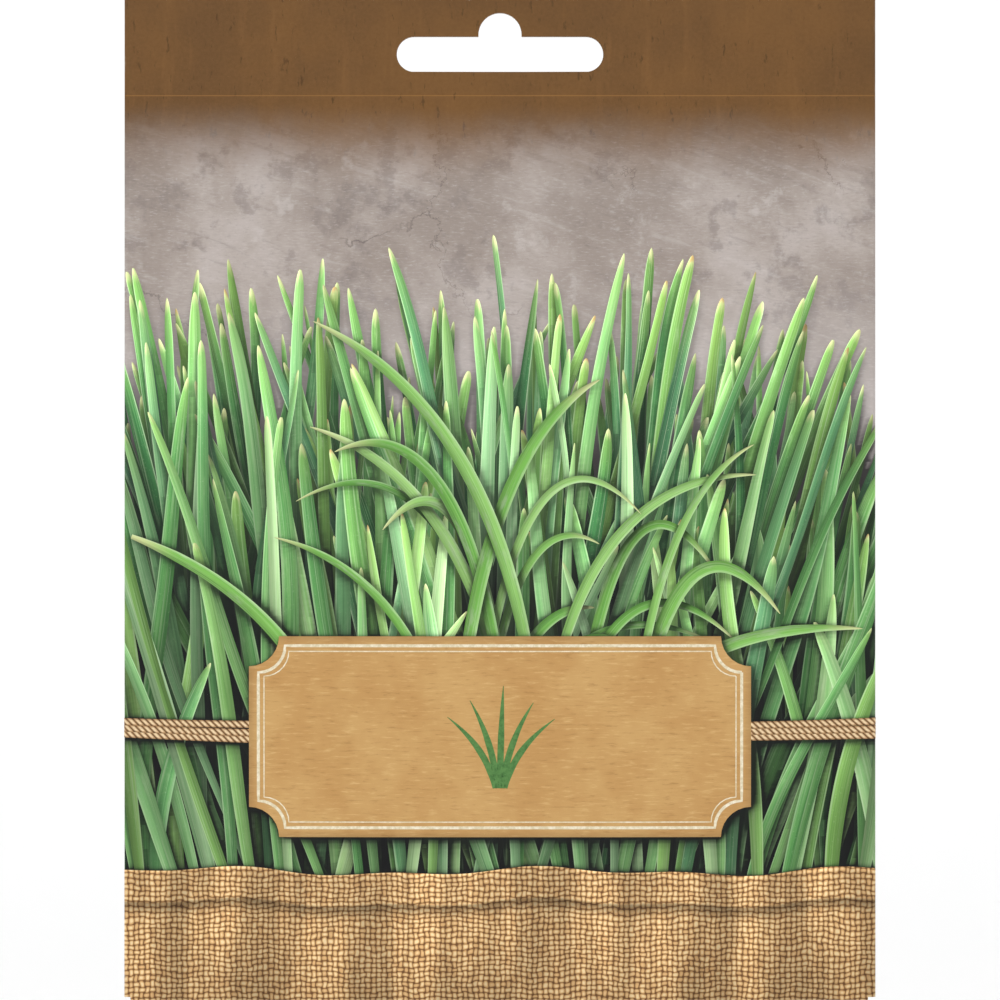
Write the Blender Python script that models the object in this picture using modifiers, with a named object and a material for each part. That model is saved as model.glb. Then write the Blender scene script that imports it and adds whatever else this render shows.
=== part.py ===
"""A hanging seed packet: one printed paper sheet folded into an envelope, glued shut, with chive seeds inside.

Run with: blender --background --python part.py

Frame: metres, +Z up, the printed front faces -Y. The origin is the highest point of the hang slot, halfway
through the header, where the rod of a display hook carries the packet.

The sheet is laid out as it is folded. From the front panel's left edge it turns back into the back panel. From
its right edge a side flap folds over the back panel's free edge, and from its bottom edge a flap folds up over
both. Films of glue hold the flaps down and the header's layers together.
"""

import math
import random

import bmesh
import bpy
from mathutils import Euler, Matrix, Vector

MM = 0.001

# The packet, read from the front view
PACKET_WIDTH = 120.0 * MM
PACKET_HEIGHT = 160.0 * MM
HEADER_HEIGHT = 15.4 * MM
SLOT_LENGTH = 33.0 * MM
SLOT_BAR_HEIGHT = 5.6 * MM
SLOT_HEIGHT = 9.4 * MM
SLOT_HUMP_RADIUS = 3.44 * MM
SLOT_BELOW_TOP = 2.2 * MM

# The paper and its folds
PAPER = 0.2 * MM
LAYER_GAP = 0.3 * MM
GLUE_FILM = 0.1 * MM
SIDE_FLAP_WIDTH = 12.0 * MM
BOTTOM_FLAP_HEIGHT = 14.0 * MM
BOTTOM_FLAP_TAPER = 0.06
FLAP_INSET = 0.6 * MM
FOLD_STEPS = 4

# How far the filled packet swells at its fullest
FRONT_BULGE = 2.6 * MM
BACK_BULGE = 1.9 * MM
SIDE_FALL = 2.6
LOW_BELLY = 0.7

# The heap of seeds
SEED_RADII = (1.45 * MM, 0.55 * MM, 0.85 * MM)
SEED_SPACING = (3.4 * MM, 2.7 * MM)
SEED_LAYER = 0.38 * MM
SEED_CORE = 0.5 * MM
SEED_TILT = math.radians(12)
SEED_BITE = 0.9 * MM
HEAP_HALF_WIDTH = 36.0 * MM
HEAP_HEIGHT = 11.5 * MM
HEAP_ABOVE_FOLD = 5.2 * MM
SEED_DRAW = 11

# Values that follow from the ones above
HALF_WIDTH = PACKET_WIDTH / 2
TOP = SLOT_BELOW_TOP
BOTTOM = TOP - PACKET_HEIGHT
SEAL_LINE = TOP - HEADER_HEIGHT
PITCH = PAPER + LAYER_GAP
FRONT_LAYER = -PITCH / 2
BACK_LAYER = PITCH / 2
FLAP_LAYER = BACK_LAYER + PITCH
LEFT_TANGENT = -HALF_WIDTH + PAPER / 2 + PITCH / 2
RIGHT_TANGENT = HALF_WIDTH - PAPER / 2 - PITCH
LOW_TANGENT = BOTTOM + PAPER / 2 + PITCH
SIDE_FLAP_EDGE = HALF_WIDTH - SIDE_FLAP_WIDTH
BACK_PANEL_EDGE = HALF_WIDTH - PAPER - LAYER_GAP

PARTS = "seed_packet"
CUTTERS = "cutters"


def clear_scene():
    for obj in list(bpy.data.objects):
        bpy.data.objects.remove(obj)


def collection_named(name):
    made = bpy.data.collections.new(name)
    bpy.context.scene.collection.children.link(made)
    return made


def material_of(name, colour, roughness):
    made = bpy.data.materials.new(name)
    made.use_nodes = True
    shader = made.node_tree.nodes["Principled BSDF"]
    shader.inputs["Base Color"].default_value = (*colour, 1.0)
    shader.inputs["Roughness"].default_value = roughness
    shader.inputs["Metallic"].default_value = 0.0
    made.diffuse_color = (*colour, 1.0)
    return made


def object_from(name, bm, collection, material=None):
    mesh = bpy.data.meshes.new(name)
    bm.to_mesh(mesh)
    bm.free()
    made = bpy.data.objects.new(name, mesh)
    collection.objects.link(made)
    if material:
        mesh.materials.append(material)
    return made


def plain_mesh(obj):
    """The object's evaluated shape as a mesh of its own, with its modifiers applied."""
    graph = bpy.context.evaluated_depsgraph_get()
    mesh = bpy.data.meshes.new_from_object(obj.evaluated_get(graph))
    obj.modifiers.clear()
    obj.data = mesh


def shade_round(obj):
    obj.data.shade_smooth()
    obj.data.set_sharp_from_angle(angle=math.radians(40))


def steps(start, end, count):
    """count + 1 values from start to end."""
    return [start + (end - start) * i / count for i in range(count + 1)]


def smooth(share):
    share = min(1.0, max(0.0, share))
    return share * share * (3 - 2 * share)


# The swell of the filled packet


def fullness(x, z):
    """How far the packet swells at a place, from 0 at its folds and its header to 1 at its belly."""
    across = 1 - min(1.0, abs(x) / HALF_WIDTH) ** SIDE_FALL
    up = (z - LOW_TANGENT) / (SEAL_LINE - LOW_TANGENT)
    if not 0 < up < 1:
        return 0.0
    return across * math.sin(math.pi * up**LOW_BELLY)


def belly_shares(count):
    """Shares of the height from the bottom fold to the header, closer together where the swell is steep."""
    return [share ** (1 / LOW_BELLY) for share in steps(0.0, 1.0, count)]


def front_y(x, z, layer=FRONT_LAYER):
    return layer - FRONT_BULGE * fullness(x, z)


def back_y(x, z, layer=BACK_LAYER):
    return layer + BACK_BULGE * fullness(x, z)


# The folded sheet


def arc(centre_x, centre_y, radius, first_deg, last_deg):
    """Stations round an upright fold, its two ends left out."""
    turns = steps(math.radians(first_deg), math.radians(last_deg), FOLD_STEPS)[1:-1]
    return [("fold", centre_x + radius * math.cos(a), centre_y + radius * math.sin(a)) for a in turns]


def front_columns():
    """The front panel's columns, from the right fold to the left, with one at each end of the bottom flap."""
    inner = steps(RIGHT_TANGENT - FLAP_INSET, LEFT_TANGENT + FLAP_INSET, 20)
    return [RIGHT_TANGENT, *inner, LEFT_TANGENT]


def strip_stations():
    """The sheet's upright columns in order: side flap, right fold, front panel, left fold, back panel."""
    flap = [("back", x, FLAP_LAYER) for x in steps(SIDE_FLAP_EDGE, RIGHT_TANGENT, 2)]
    right = arc(RIGHT_TANGENT, BACK_LAYER, PITCH, 90, -90)
    front = [("front", x, FRONT_LAYER) for x in front_columns()]
    left = arc(LEFT_TANGENT, 0.0, PITCH / 2, 270, 90)
    back = [("back", x, BACK_LAYER) for x in steps(LEFT_TANGENT, BACK_PANEL_EDGE, 20)]
    return flap + right + front + left + back


def strip_point(station, z):
    side, x, y = station
    if side == "front":
        return Vector((x, front_y(x, z, y), z))
    if side == "back":
        return Vector((x, back_y(x, z, y), z))
    return Vector((x, y, z))


def bottom_flap_layer(x):
    """The bottom flap lies on the back panel, and climbs one layer where it crosses the side flap."""
    climb = 2.5 * MM
    return FLAP_LAYER + PITCH * smooth((x - SIDE_FLAP_EDGE + climb + LAYER_GAP) / climb)


def bottom_flap_point(x, turn, rise):
    """A point of the bottom flap: turn goes from 0 to pi round the fold, then rise from 0 to 1 up the flap."""
    x = x * (1 - BOTTOM_FLAP_TAPER * rise)
    layer = bottom_flap_layer(x)
    if rise > 0:
        z = LOW_TANGENT + BOTTOM_FLAP_HEIGHT * rise
        return Vector((x, back_y(x, z, layer), z))
    middle = (FRONT_LAYER + layer) / 2
    reach = (layer - FRONT_LAYER) / 2
    return Vector((x, middle - reach * math.cos(turn), LOW_TANGENT - PITCH * math.sin(turn)))


def add_grid(bm, columns, rows, place):
    """A grid of faces whose corner at column i and row j is put at place(columns[i], rows[j])."""
    across, up = len(columns) - 1, len(rows) - 1
    made = bmesh.ops.create_grid(bm, x_segments=across, y_segments=up, size=1.0)
    for vert in made["verts"]:
        i = round((vert.co.x + 1) / 2 * across)
        j = round((vert.co.y + 1) / 2 * up)
        vert.co = place(columns[i], rows[j])


def fold_sheet():
    """The whole sheet's middle surface, folded, as one open mesh."""
    bm = bmesh.new()
    heights = [LOW_TANGENT + (SEAL_LINE - LOW_TANGENT) * up for up in belly_shares(20)]
    heights += steps(SEAL_LINE, TOP, 2)[1:]
    add_grid(bm, strip_stations(), heights, strip_point)
    flap_steps = [(turn, 0.0) for turn in steps(0.0, math.pi, FOLD_STEPS)]
    flap_steps += [(math.pi, rise) for rise in steps(0.0, 1.0, 3)[1:]]
    add_grid(bm, front_columns()[1:-1], flap_steps, lambda x, step: bottom_flap_point(x, *step))
    bmesh.ops.remove_doubles(bm, verts=bm.verts, dist=0.01 * MM)
    bmesh.ops.recalc_face_normals(bm, faces=bm.faces)
    return bm


def thicken(obj, thickness):
    solid = obj.modifiers.new("paper thickness", "SOLIDIFY")
    solid.thickness = thickness
    solid.offset = 0.0
    solid.use_even_offset = True


def cut(obj, cutter):
    slot = obj.modifiers.new("hang slot", "BOOLEAN")
    slot.operation = "DIFFERENCE"
    slot.solver = "EXACT"
    slot.object = cutter


def make_envelope(parts, slot_cutter, paper):
    envelope = object_from("envelope", fold_sheet(), parts, paper)
    thicken(envelope, PAPER)
    cut(envelope, slot_cutter)
    plain_mesh(envelope)
    shade_round(envelope)
    return envelope


# The hang slot


def slot_outline(margin):
    """The hang slot's outline in X and Z: a bar with round ends and a round hump on its middle."""
    bar_half = SLOT_BAR_HEIGHT / 2
    bar_middle = -SLOT_HEIGHT + bar_half
    end_x = SLOT_LENGTH / 2 - bar_half
    end_radius = bar_half + margin
    hump_radius = SLOT_HUMP_RADIUS + margin
    shoulder = bar_middle + end_radius
    points = []
    for a in steps(-math.pi / 2, math.pi / 2, 12):
        points.append((end_x + end_radius * math.cos(a), bar_middle + end_radius * math.sin(a)))
    points.append((hump_radius, shoulder))
    for a in steps(0.0, math.pi, 16):
        points.append((hump_radius * math.cos(a), -SLOT_HUMP_RADIUS + hump_radius * math.sin(a)))
    points.append((-hump_radius, shoulder))
    for a in steps(math.pi / 2, 3 * math.pi / 2, 12):
        points.append((-end_x + end_radius * math.cos(a), bar_middle + end_radius * math.sin(a)))
    return points


def make_slot_cutter(name, cutters, margin=0.0):
    depth = 5.0 * MM
    curve = bpy.data.curves.new(name, "CURVE")
    curve.dimensions = "2D"
    curve.fill_mode = "BOTH"
    curve.extrude = depth
    spline = curve.splines.new("POLY")
    outline = slot_outline(margin)
    spline.points.add(len(outline) - 1)
    for point, (x, z) in zip(spline.points, outline):
        point.co = (x, z, 0.0, 1.0)
    spline.use_cyclic_u = True
    drawn = bpy.data.objects.new(name + "_outline", curve)
    cutters.objects.link(drawn)
    graph = bpy.context.evaluated_depsgraph_get()
    mesh = bpy.data.meshes.new_from_object(drawn.evaluated_get(graph))
    bpy.data.objects.remove(drawn)
    bm = bmesh.new()
    bm.from_mesh(mesh)
    bmesh.ops.remove_doubles(bm, verts=bm.verts, dist=0.001 * MM)
    bmesh.ops.rotate(bm, verts=bm.verts, matrix=Matrix.Rotation(math.pi / 2, 3, "X"))
    bmesh.ops.recalc_face_normals(bm, faces=bm.faces)
    cutter = object_from(name, bm, cutters)
    cutter.hide_render = True
    cutter.display_type = "WIRE"
    return cutter


# The films of glue


def make_header_seal(parts, slot_cutter, glue):
    """The film between the header's front and back layers, open round the hang slot."""
    bm = bmesh.new()
    bmesh.ops.create_cube(bm, size=1.0)
    inset = 1.2 * MM
    size = Vector((PACKET_WIDTH - 2 * inset, GLUE_FILM, HEADER_HEIGHT - 2 * inset))
    bmesh.ops.scale(bm, verts=bm.verts, vec=size)
    bmesh.ops.translate(bm, verts=bm.verts, vec=(0.0, 0.0, (TOP + SEAL_LINE) / 2))
    seal = object_from("header_seal", bm, parts, glue)
    cut(seal, slot_cutter)
    plain_mesh(seal)
    return seal


def make_glue_strip(name, parts, glue, x_ends, z_ends, counts):
    """A film on the back panel's outer side, under a flap."""
    middle = (BACK_LAYER + FLAP_LAYER) / 2
    bm = bmesh.new()
    add_grid(
        bm,
        steps(*x_ends, counts[0]),
        steps(*z_ends, counts[1]),
        lambda x, z: Vector((x, back_y(x, z, middle), z)),
    )
    strip = object_from(name, bm, parts, glue)
    thicken(strip, GLUE_FILM)
    return strip


def make_glue_strips(parts, glue):
    side_inset = 1.5 * MM
    make_glue_strip(
        "side_seam_glue",
        parts,
        glue,
        (SIDE_FLAP_EDGE + side_inset, RIGHT_TANGENT - side_inset),
        (LOW_TANGENT + side_inset, TOP - side_inset),
        (2, 40),
    )
    make_glue_strip(
        "bottom_flap_glue",
        parts,
        glue,
        (LEFT_TANGENT + 5 * MM, SIDE_FLAP_EDGE - 4 * MM),
        (LOW_TANGENT + 3 * MM, LOW_TANGENT + BOTTOM_FLAP_HEIGHT - 2 * MM),
        (36, 4),
    )


# The seeds


def heap_top(x):
    """The heap's height above its own foot at a place across the packet."""
    return HEAP_HEIGHT * max(0.0, 1 - (x / HEAP_HALF_WIDTH) ** 2) ** 0.8


def middle_y(x, z):
    return (BACK_BULGE - FRONT_BULGE) / 2 * fullness(x, z)


def room_y(x, z):
    """Half the free depth between the panels at a seed's lower and outer end, less a little air."""
    air = 0.2 * MM
    reach = SEED_RADII[0]
    free = LAYER_GAP + (FRONT_BULGE + BACK_BULGE) * fullness(abs(x) + reach, z - reach)
    return free / 2 - air


def seed_places(draw):
    """Places of the seeds, in two layers on a jittered grid inside the heap's outline."""
    foot = LOW_TANGENT + HEAP_ABOVE_FOLD
    rows = int(HEAP_HEIGHT / SEED_SPACING[1])
    for row in range(rows + 1):
        z = foot + row * SEED_SPACING[1]
        columns = int(HEAP_HALF_WIDTH / SEED_SPACING[0])
        for column in range(-columns, columns + 1):
            x = (column + 0.5 * (row % 2)) * SEED_SPACING[0]
            if heap_top(x) < z - foot + SEED_BITE:
                continue
            for side in (-1, 1):
                jitter_x = draw.uniform(-0.5, 0.5) * MM
                jitter_z = draw.uniform(-0.4, 0.4) * MM
                turn = draw.uniform(0, math.pi)
                tilt = draw.uniform(-SEED_TILT, SEED_TILT)
                yield x + jitter_x, z + jitter_z, side, turn, tilt


def make_seed(place, collection):
    """One angular seed: a coarse ball, longer than wide and flat on its sides."""
    x, z, side, turn, tilt = place
    length, depth, width = SEED_RADII
    bm = bmesh.new()
    bmesh.ops.create_icosphere(bm, subdivisions=1, radius=1.0)
    bmesh.ops.scale(bm, verts=bm.verts, vec=(length, depth, width))
    turned = Euler((tilt, turn, tilt)).to_matrix()
    bmesh.ops.rotate(bm, verts=bm.verts, matrix=turned)
    reach = max(abs(v.co.y) for v in bm.verts)
    offset = min(SEED_LAYER, room_y(x, z) - reach)
    bmesh.ops.translate(bm, verts=bm.verts, vec=(x, middle_y(x, z) + side * offset, z))
    return object_from("seed", bm, collection)


def make_seed_core(parts, husk):
    """The thin middle of the heap, which the seeds stand out of."""
    foot = LOW_TANGENT + HEAP_ABOVE_FOLD
    half = HEAP_HALF_WIDTH - SEED_BITE
    bm = bmesh.new()
    add_grid(
        bm,
        steps(-half, half, 26),
        steps(0.0, 1.0, 4),
        lambda x, share: Vector((x, middle_y(x, foot + share * heap_top(x)), foot + share * heap_top(x))),
    )
    core = object_from("seeds", bm, parts, husk)
    thicken(core, SEED_CORE)
    return core


def make_seeds(parts, husk):
    core = make_seed_core(parts, husk)
    loose = collection_named("loose_seeds")
    draw = random.Random(SEED_DRAW)
    for place in seed_places(draw):
        make_seed(place, loose)
    join = core.modifiers.new("join seeds", "BOOLEAN")
    join.operation = "UNION"
    join.operand_type = "COLLECTION"
    join.collection = loose
    join.solver = "MANIFOLD"
    plain_mesh(core)
    for seed in list(loose.objects):
        bpy.data.objects.remove(seed)
    bpy.data.collections.remove(loose)
    return core


def main():
    clear_scene()
    parts = collection_named(PARTS)
    cutters = collection_named(CUTTERS)
    paper = material_of("printed paper", (0.33, 0.47, 0.20), 0.42)
    glue = material_of("dried glue", (0.86, 0.83, 0.74), 0.35)
    husk = material_of("seed husk", (0.025, 0.024, 0.026), 0.55)
    slot_cutter = make_slot_cutter("slot_cutter", cutters)
    seal_cutter = make_slot_cutter("seal_cutter", cutters, margin=0.8 * MM)
    make_envelope(parts, slot_cutter, paper)
    make_header_seal(parts, seal_cutter, glue)
    make_glue_strips(parts, glue)
    make_seeds(parts, husk)


main()
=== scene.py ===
"""The looks of the hanging seed packet: coated paper with a printed chive design, folded and glued.

The print is one flat layer on the paper. Its blades are drawn in the plane of the unfolded front, where
across is measured from the packet's middle and z is the height. Each visible stretch of a blade becomes a few
faces.
"""

import contextlib
import math

import bmesh
import bpy
import numpy as np
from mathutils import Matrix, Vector
from mathutils.geometry import delaunay_2d_cdt


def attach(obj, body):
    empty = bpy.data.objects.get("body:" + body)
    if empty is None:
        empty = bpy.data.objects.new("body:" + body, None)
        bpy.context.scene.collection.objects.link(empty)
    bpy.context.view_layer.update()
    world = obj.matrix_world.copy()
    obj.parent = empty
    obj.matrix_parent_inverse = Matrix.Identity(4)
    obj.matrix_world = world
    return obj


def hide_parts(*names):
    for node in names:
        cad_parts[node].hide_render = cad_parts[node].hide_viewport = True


MM = 0.001

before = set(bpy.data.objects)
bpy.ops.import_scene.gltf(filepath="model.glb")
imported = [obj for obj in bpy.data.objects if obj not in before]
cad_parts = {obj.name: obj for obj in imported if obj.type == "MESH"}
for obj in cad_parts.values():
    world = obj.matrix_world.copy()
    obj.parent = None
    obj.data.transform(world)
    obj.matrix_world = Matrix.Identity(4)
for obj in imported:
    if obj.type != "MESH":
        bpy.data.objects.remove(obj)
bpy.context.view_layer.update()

# The packet's own sizes, as its solids have them
PACKET_WIDTH = 120.0 * MM
PACKET_HEIGHT = 160.0 * MM
HEADER_HEIGHT = 15.4 * MM
SLOT_LENGTH = 33.0 * MM
SLOT_BAR_HEIGHT = 5.6 * MM
SLOT_HEIGHT = 9.4 * MM
SLOT_HUMP_RADIUS = 3.44 * MM
SLOT_BELOW_TOP = 2.2 * MM
PAPER = 0.2 * MM
LAYER_GAP = 0.3 * MM
SIDE_FLAP_WIDTH = 12.0 * MM
BOTTOM_FLAP_HEIGHT = 14.0 * MM
BOTTOM_FLAP_TAPER = 0.06
FLAP_INSET = 0.6 * MM
FRONT_BULGE = 2.6 * MM
BACK_BULGE = 1.9 * MM
SIDE_FALL = 2.6
LOW_BELLY = 0.7
HEAP_HALF_WIDTH = 36.0 * MM
HEAP_HEIGHT = 11.5 * MM
HEAP_ABOVE_FOLD = 5.2 * MM

HALF_WIDTH = PACKET_WIDTH / 2
TOP = SLOT_BELOW_TOP
BOTTOM = TOP - PACKET_HEIGHT
SEAL_LINE = TOP - HEADER_HEIGHT
PITCH = PAPER + LAYER_GAP
FRONT_LAYER = -PITCH / 2
BACK_LAYER = PITCH / 2
FLAP_LAYER = BACK_LAYER + PITCH
LEFT_TANGENT = -HALF_WIDTH + PAPER / 2 + PITCH / 2
RIGHT_TANGENT = HALF_WIDTH - PAPER / 2 - PITCH
LOW_TANGENT = BOTTOM + PAPER / 2 + PITCH
BAR_RADIUS = SLOT_BAR_HEIGHT / 2
BAR_MIDDLE = BAR_RADIUS - SLOT_HEIGHT
BAR_END = SLOT_LENGTH / 2 - BAR_RADIUS
SIDE_FLAP_EDGE = HALF_WIDTH - SIDE_FLAP_WIDTH
BACK_PANEL_EDGE = HALF_WIDTH - PAPER - LAYER_GAP

# The print's layout, as heights in the packet's frame
FADE_TOP = -14.0 * MM
FADE_LOW = -29.0 * MM
CROWN_LINE = -34.0 * MM
ROOT_LINE = -141.5 * MM
BURLAP_EDGE = -137.0 * MM
TWINE_LINE = -115.0 * MM
LABEL_MIDDLE = -115.5 * MM
LABEL_SIZE = (80.0 * MM, 32.0 * MM)
LABEL_CORNER = 4.8 * MM

# How far each printed layer lies in front of the paper's coated face
PRINT_LIFT = 0.015 * MM
BURLAP_LIFT = 0.035 * MM
ARCHING_LIFT = 0.030 * MM
TWINE_LIFT = 0.072 * MM
LABEL_LIFT = 0.085 * MM
INK_LIFT = 0.095 * MM
BACK_LIFT = 0.02 * MM

# Colours, in the sRGB values of the print
BROWN = "#6f4d28"
BROWN_DARK = "#5f4224"
BROWN_LIGHT = "#7d5831"
PLASTER = "#b0a59e"
PLASTER_DARK = "#9b8f87"
PLASTER_LIGHT = "#c2b9b5"
PLASTER_SHADE = "#857b77"
PLASTER_DAMP = "#7e7470"
PLASTER_CHALK = "#cbc4c0"
PLASTER_PALE = "#d2cccb"
PLASTER_PIT = "#6f6560"
PLASTER_CRACK = "#5e5451"
HEADER_GRIT = ("#4a3017", "#b98c56")
HEADER_SMUDGE = "#46301b"
PRESSED_INK = "#a8763c"
AMONG_STEMS = "#1c1a1f"
SHADOW = "#100f12"
LEAF_RAMP = (
    (0.00, "#285231"),
    (0.28, "#417b47"),
    (0.52, "#63a35a"),
    (0.76, "#8bc277"),
    (1.00, "#b7da9d"),
)
LOOSE_RAMP = (
    (0.00, "#4b8a3d"),
    (0.45, "#7ab653"),
    (1.00, "#b0d988"),
)
LEAF_BLUE = "#6a9a7c"
LEAF_YELLOW = "#a2c65e"
LEAF_PALE = "#c9dfb6"
LEAF_TIP = "#dfdca4"
LEAF_VEIN = "#2f6636"
LEAF_DRY = "#c09a62"
JUTE = "#d8ab72"
JUTE_DARK = "#704a2b"
JUTE_LIGHT = "#f0d4a2"
TWINE_DARK = "#5c3d24"
TWINE = "#b79167"
TWINE_LIGHT = "#ecd6ae"
KRAFT = "#c9a066"
KRAFT_CLOUD = "#bf935a"
KRAFT_DARK = "#9a6f3d"
KRAFT_LIGHT = "#ddb980"
KRAFT_FLECK = "#ecd2a4"
KRAFT_SPOT = "#7b562d"
CREAM_INK = ("#f3ead2", "#d8caa6")
GREEN_INK = ("#44703b", "#5c8a4c")
WHITE_PAPER = "#ece7db"
INNER_PAPER = "#e6e0d2"
RUBBED_PAPER = "#c9c2b6"
CORE_PAPER = ("#dcd6ca", "#fbf9f4")
SOIL = ("#5b3f26", "#86623e")
SOIL_CRUMB = "#48301c"
SOIL_DRY = "#9c7650"
PASTE = ("#cfc7ab", "#efe9d6")
HUSK = ("#141315", "#3b3839")
FLOOR = ("#fafafa", "#fdfdfd")


def steps(start, end, count):
    """count + 1 values from start to end."""
    return np.linspace(start, end, count + 1)


def smooth(share):
    share = np.clip(share, 0.0, 1.0)
    return share * share * (3 - 2 * share)


def linear(code):
    """A colour from its sRGB code, as the shader's linear red, green, blue and alpha."""
    parts = [int(code[i : i + 2], 16) / 255 for i in (1, 3, 5)]
    return (*[c / 12.92 if c <= 0.04045 else ((c + 0.055) / 1.055) ** 2.4 for c in parts], 1.0)


# The paper's surface


def fullness(x, z):
    """How far the packet swells at a place, from 0 at its folds and its header to 1 at its belly."""
    across = 1 - np.minimum(1.0, np.abs(x) / HALF_WIDTH) ** SIDE_FALL
    up = np.clip((z - LOW_TANGENT) / (SEAL_LINE - LOW_TANGENT), 0.0, 1.0)
    return across * np.sin(math.pi * up**LOW_BELLY)


CREASE_COUNT = 16


def crease_set(seed):
    """Soft creases of handled paper: each has a start, a direction, a length, a width and a height."""
    draw = np.random.default_rng(seed)
    made = []
    for _ in range(CREASE_COUNT):
        side = draw.choice((-1.0, 1.0))
        x = side * draw.uniform(30, 57) * MM
        z = draw.uniform(BOTTOM + 14 * MM, SEAL_LINE - 3 * MM)
        turn = draw.uniform(-1.1, 1.1) + (0 if side < 0 else math.pi)
        length = draw.uniform(16, 44) * MM
        width = draw.uniform(3.4, 6.5) * MM
        height = draw.uniform(-0.10, 0.13) * MM
        made.append((x, z, turn, length, width, height))
    return made


FRONT_CREASES = crease_set(21)
BACK_CREASES = crease_set(34)


def creased(x, z, creases):
    """The height of the creases at a place. They fade out before the folds and the header."""
    total = np.zeros(np.broadcast(x, z).shape)
    for start_x, start_z, turn, length, width, height in creases:
        along = (x - start_x) * math.cos(turn) + (z - start_z) * math.sin(turn)
        off = (z - start_z) * math.cos(turn) - (x - start_x) * math.sin(turn)
        share = np.clip(along / length, 0.0, 1.0)
        total = total + height * np.sin(math.pi * share) * np.exp(-((off / width) ** 2))
    side_fade = smooth((HALF_WIDTH - np.abs(x) - 1.2 * MM) / (7 * MM))
    low_fade = smooth((z - LOW_TANGENT) / (7 * MM))
    top_fade = smooth((SEAL_LINE - z) / (5 * MM))
    return total * side_fade * low_fade * top_fade


def seed_lumps(x, z):
    """The heap of seeds shows through the paper as a faint unevenness low on the panel."""
    heap_top = LOW_TANGENT + HEAP_ABOVE_FOLD + HEAP_HEIGHT
    inside = smooth((HEAP_HALF_WIDTH + 3 * MM - np.abs(x)) / (12 * MM))
    inside = inside * smooth((heap_top + 3 * MM - z) / (6 * MM)) * smooth((z - LOW_TANGENT) / (5 * MM))
    ripple = np.sin(x / (1.9 * MM) + 1.3) * np.sin(z / (1.7 * MM)) + np.sin((x + z) / (2.3 * MM))
    return 0.022 * MM * inside * ripple


def pressed_line(x, z):
    """The pressed line under the header, a shallow groove across the sheet."""
    inside = smooth((HALF_WIDTH - np.abs(x) - 1.0 * MM) / (2 * MM))
    return -0.02 * MM * inside * np.exp(-(((z - SEAL_LINE) / (0.5 * MM)) ** 2))


LINE_ROWS = SEAL_LINE + np.array([-1.2, -0.8, -0.5, -0.25, 0.0, 0.25, 0.5, 0.8, 1.2]) * MM


def front_y(x, z, layer=FRONT_LAYER):
    proud = creased(x, z, FRONT_CREASES) + seed_lumps(x, z) + pressed_line(x, z)
    return layer - FRONT_BULGE * fullness(x, z) - proud


def back_y(x, z, layer=BACK_LAYER):
    return layer + BACK_BULGE * fullness(x, z) + creased(x, z, BACK_CREASES) + seed_lumps(x, z)


def on_front(across, z, lift):
    """Places of the unfolded front's points on the folded packet, round its side folds too."""
    outside = PAPER / 2 + lift
    left_radius = PITCH / 2 + outside
    right_radius = PITCH + outside
    left_turn = np.clip((LEFT_TANGENT - across) / left_radius, 0.0, math.pi)
    right_turn = np.clip((across - RIGHT_TANGENT) / right_radius, 0.0, math.pi)
    x = np.clip(across, LEFT_TANGENT, RIGHT_TANGENT)
    y = front_y(x, z) - outside
    x = x - left_radius * np.sin(left_turn) + right_radius * np.sin(right_turn)
    y = y + left_radius * (1 - np.cos(left_turn)) + right_radius * (1 - np.cos(right_turn))
    return np.stack(np.broadcast_arrays(x, y, z), axis=-1)


PRINT_TURN = 2.6
PRINT_LEFT = LEFT_TANGENT - PRINT_TURN * (PITCH / 2 + PAPER / 2)
PRINT_RIGHT = RIGHT_TANGENT + PRINT_TURN * (PITCH + PAPER / 2)


# Meshes


def add_object(name, data):
    made = bpy.data.objects.new(name, data)
    bpy.context.scene.collection.objects.link(made)
    return made


def mesh_object(name, points, faces, *materials):
    mesh = bpy.data.meshes.new(name)
    mesh.from_pydata([tuple(p) for p in points], [], [tuple(f) for f in faces])
    for material in materials:
        mesh.materials.append(material)
    return add_object(name, mesh)


@contextlib.contextmanager
def mesh_edit(mesh):
    """The mesh as points, edges and faces to change, written back at the end."""
    bm = bmesh.new()
    bm.from_mesh(mesh)
    yield bm
    bm.to_mesh(mesh)
    bm.free()


def weld(obj, distance=0.0005 * MM):
    with mesh_edit(obj.data) as bm:
        bmesh.ops.remove_doubles(bm, verts=bm.verts, dist=distance)


def grid_faces(rows, columns, start=0):
    """Faces of a grid whose points run along each row in turn."""
    corner = start + np.arange(rows - 1)[:, None] * columns + np.arange(columns - 1)[None, :]
    corner = corner.ravel()
    return np.stack([corner, corner + 1, corner + columns + 1, corner + columns], axis=1)


def plain_mesh(obj):
    """The object's evaluated shape as a mesh of its own, with its modifiers applied."""
    graph = bpy.context.evaluated_depsgraph_get()
    mesh = bpy.data.meshes.new_from_object(obj.evaluated_get(graph), depsgraph=graph)
    obj.modifiers.clear()
    obj.data = mesh
    return obj


def give_vectors(mesh, name, values, domain="CORNER"):
    layer = mesh.attributes.new(name, "FLOAT_VECTOR", domain)
    layer.data.foreach_set("vector", np.asarray(values, np.float32).ravel())


def give_numbers(mesh, name, values):
    """Gives every point a number."""
    layer = mesh.attributes.new(name, "FLOAT", "POINT")
    layer.data.foreach_set("value", np.asarray(values, np.float32))


def point_values(mesh, name):
    values = np.zeros(len(mesh.vertices), np.float32)
    mesh.attributes[name].data.foreach_get("value", values)
    return values


def point_places(mesh):
    """The x, y and z of every point."""
    place = np.zeros(3 * len(mesh.vertices), np.float32)
    mesh.vertices.foreach_get("co", place)
    return place.reshape(-1, 3).T


def at_corners(obj, values):
    """Values of a mesh's points, for each corner of its faces."""
    corner = np.zeros(len(obj.data.loops), np.int32)
    obj.data.loops.foreach_get("vertex_index", corner)
    return np.asarray(values)[corner]


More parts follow.
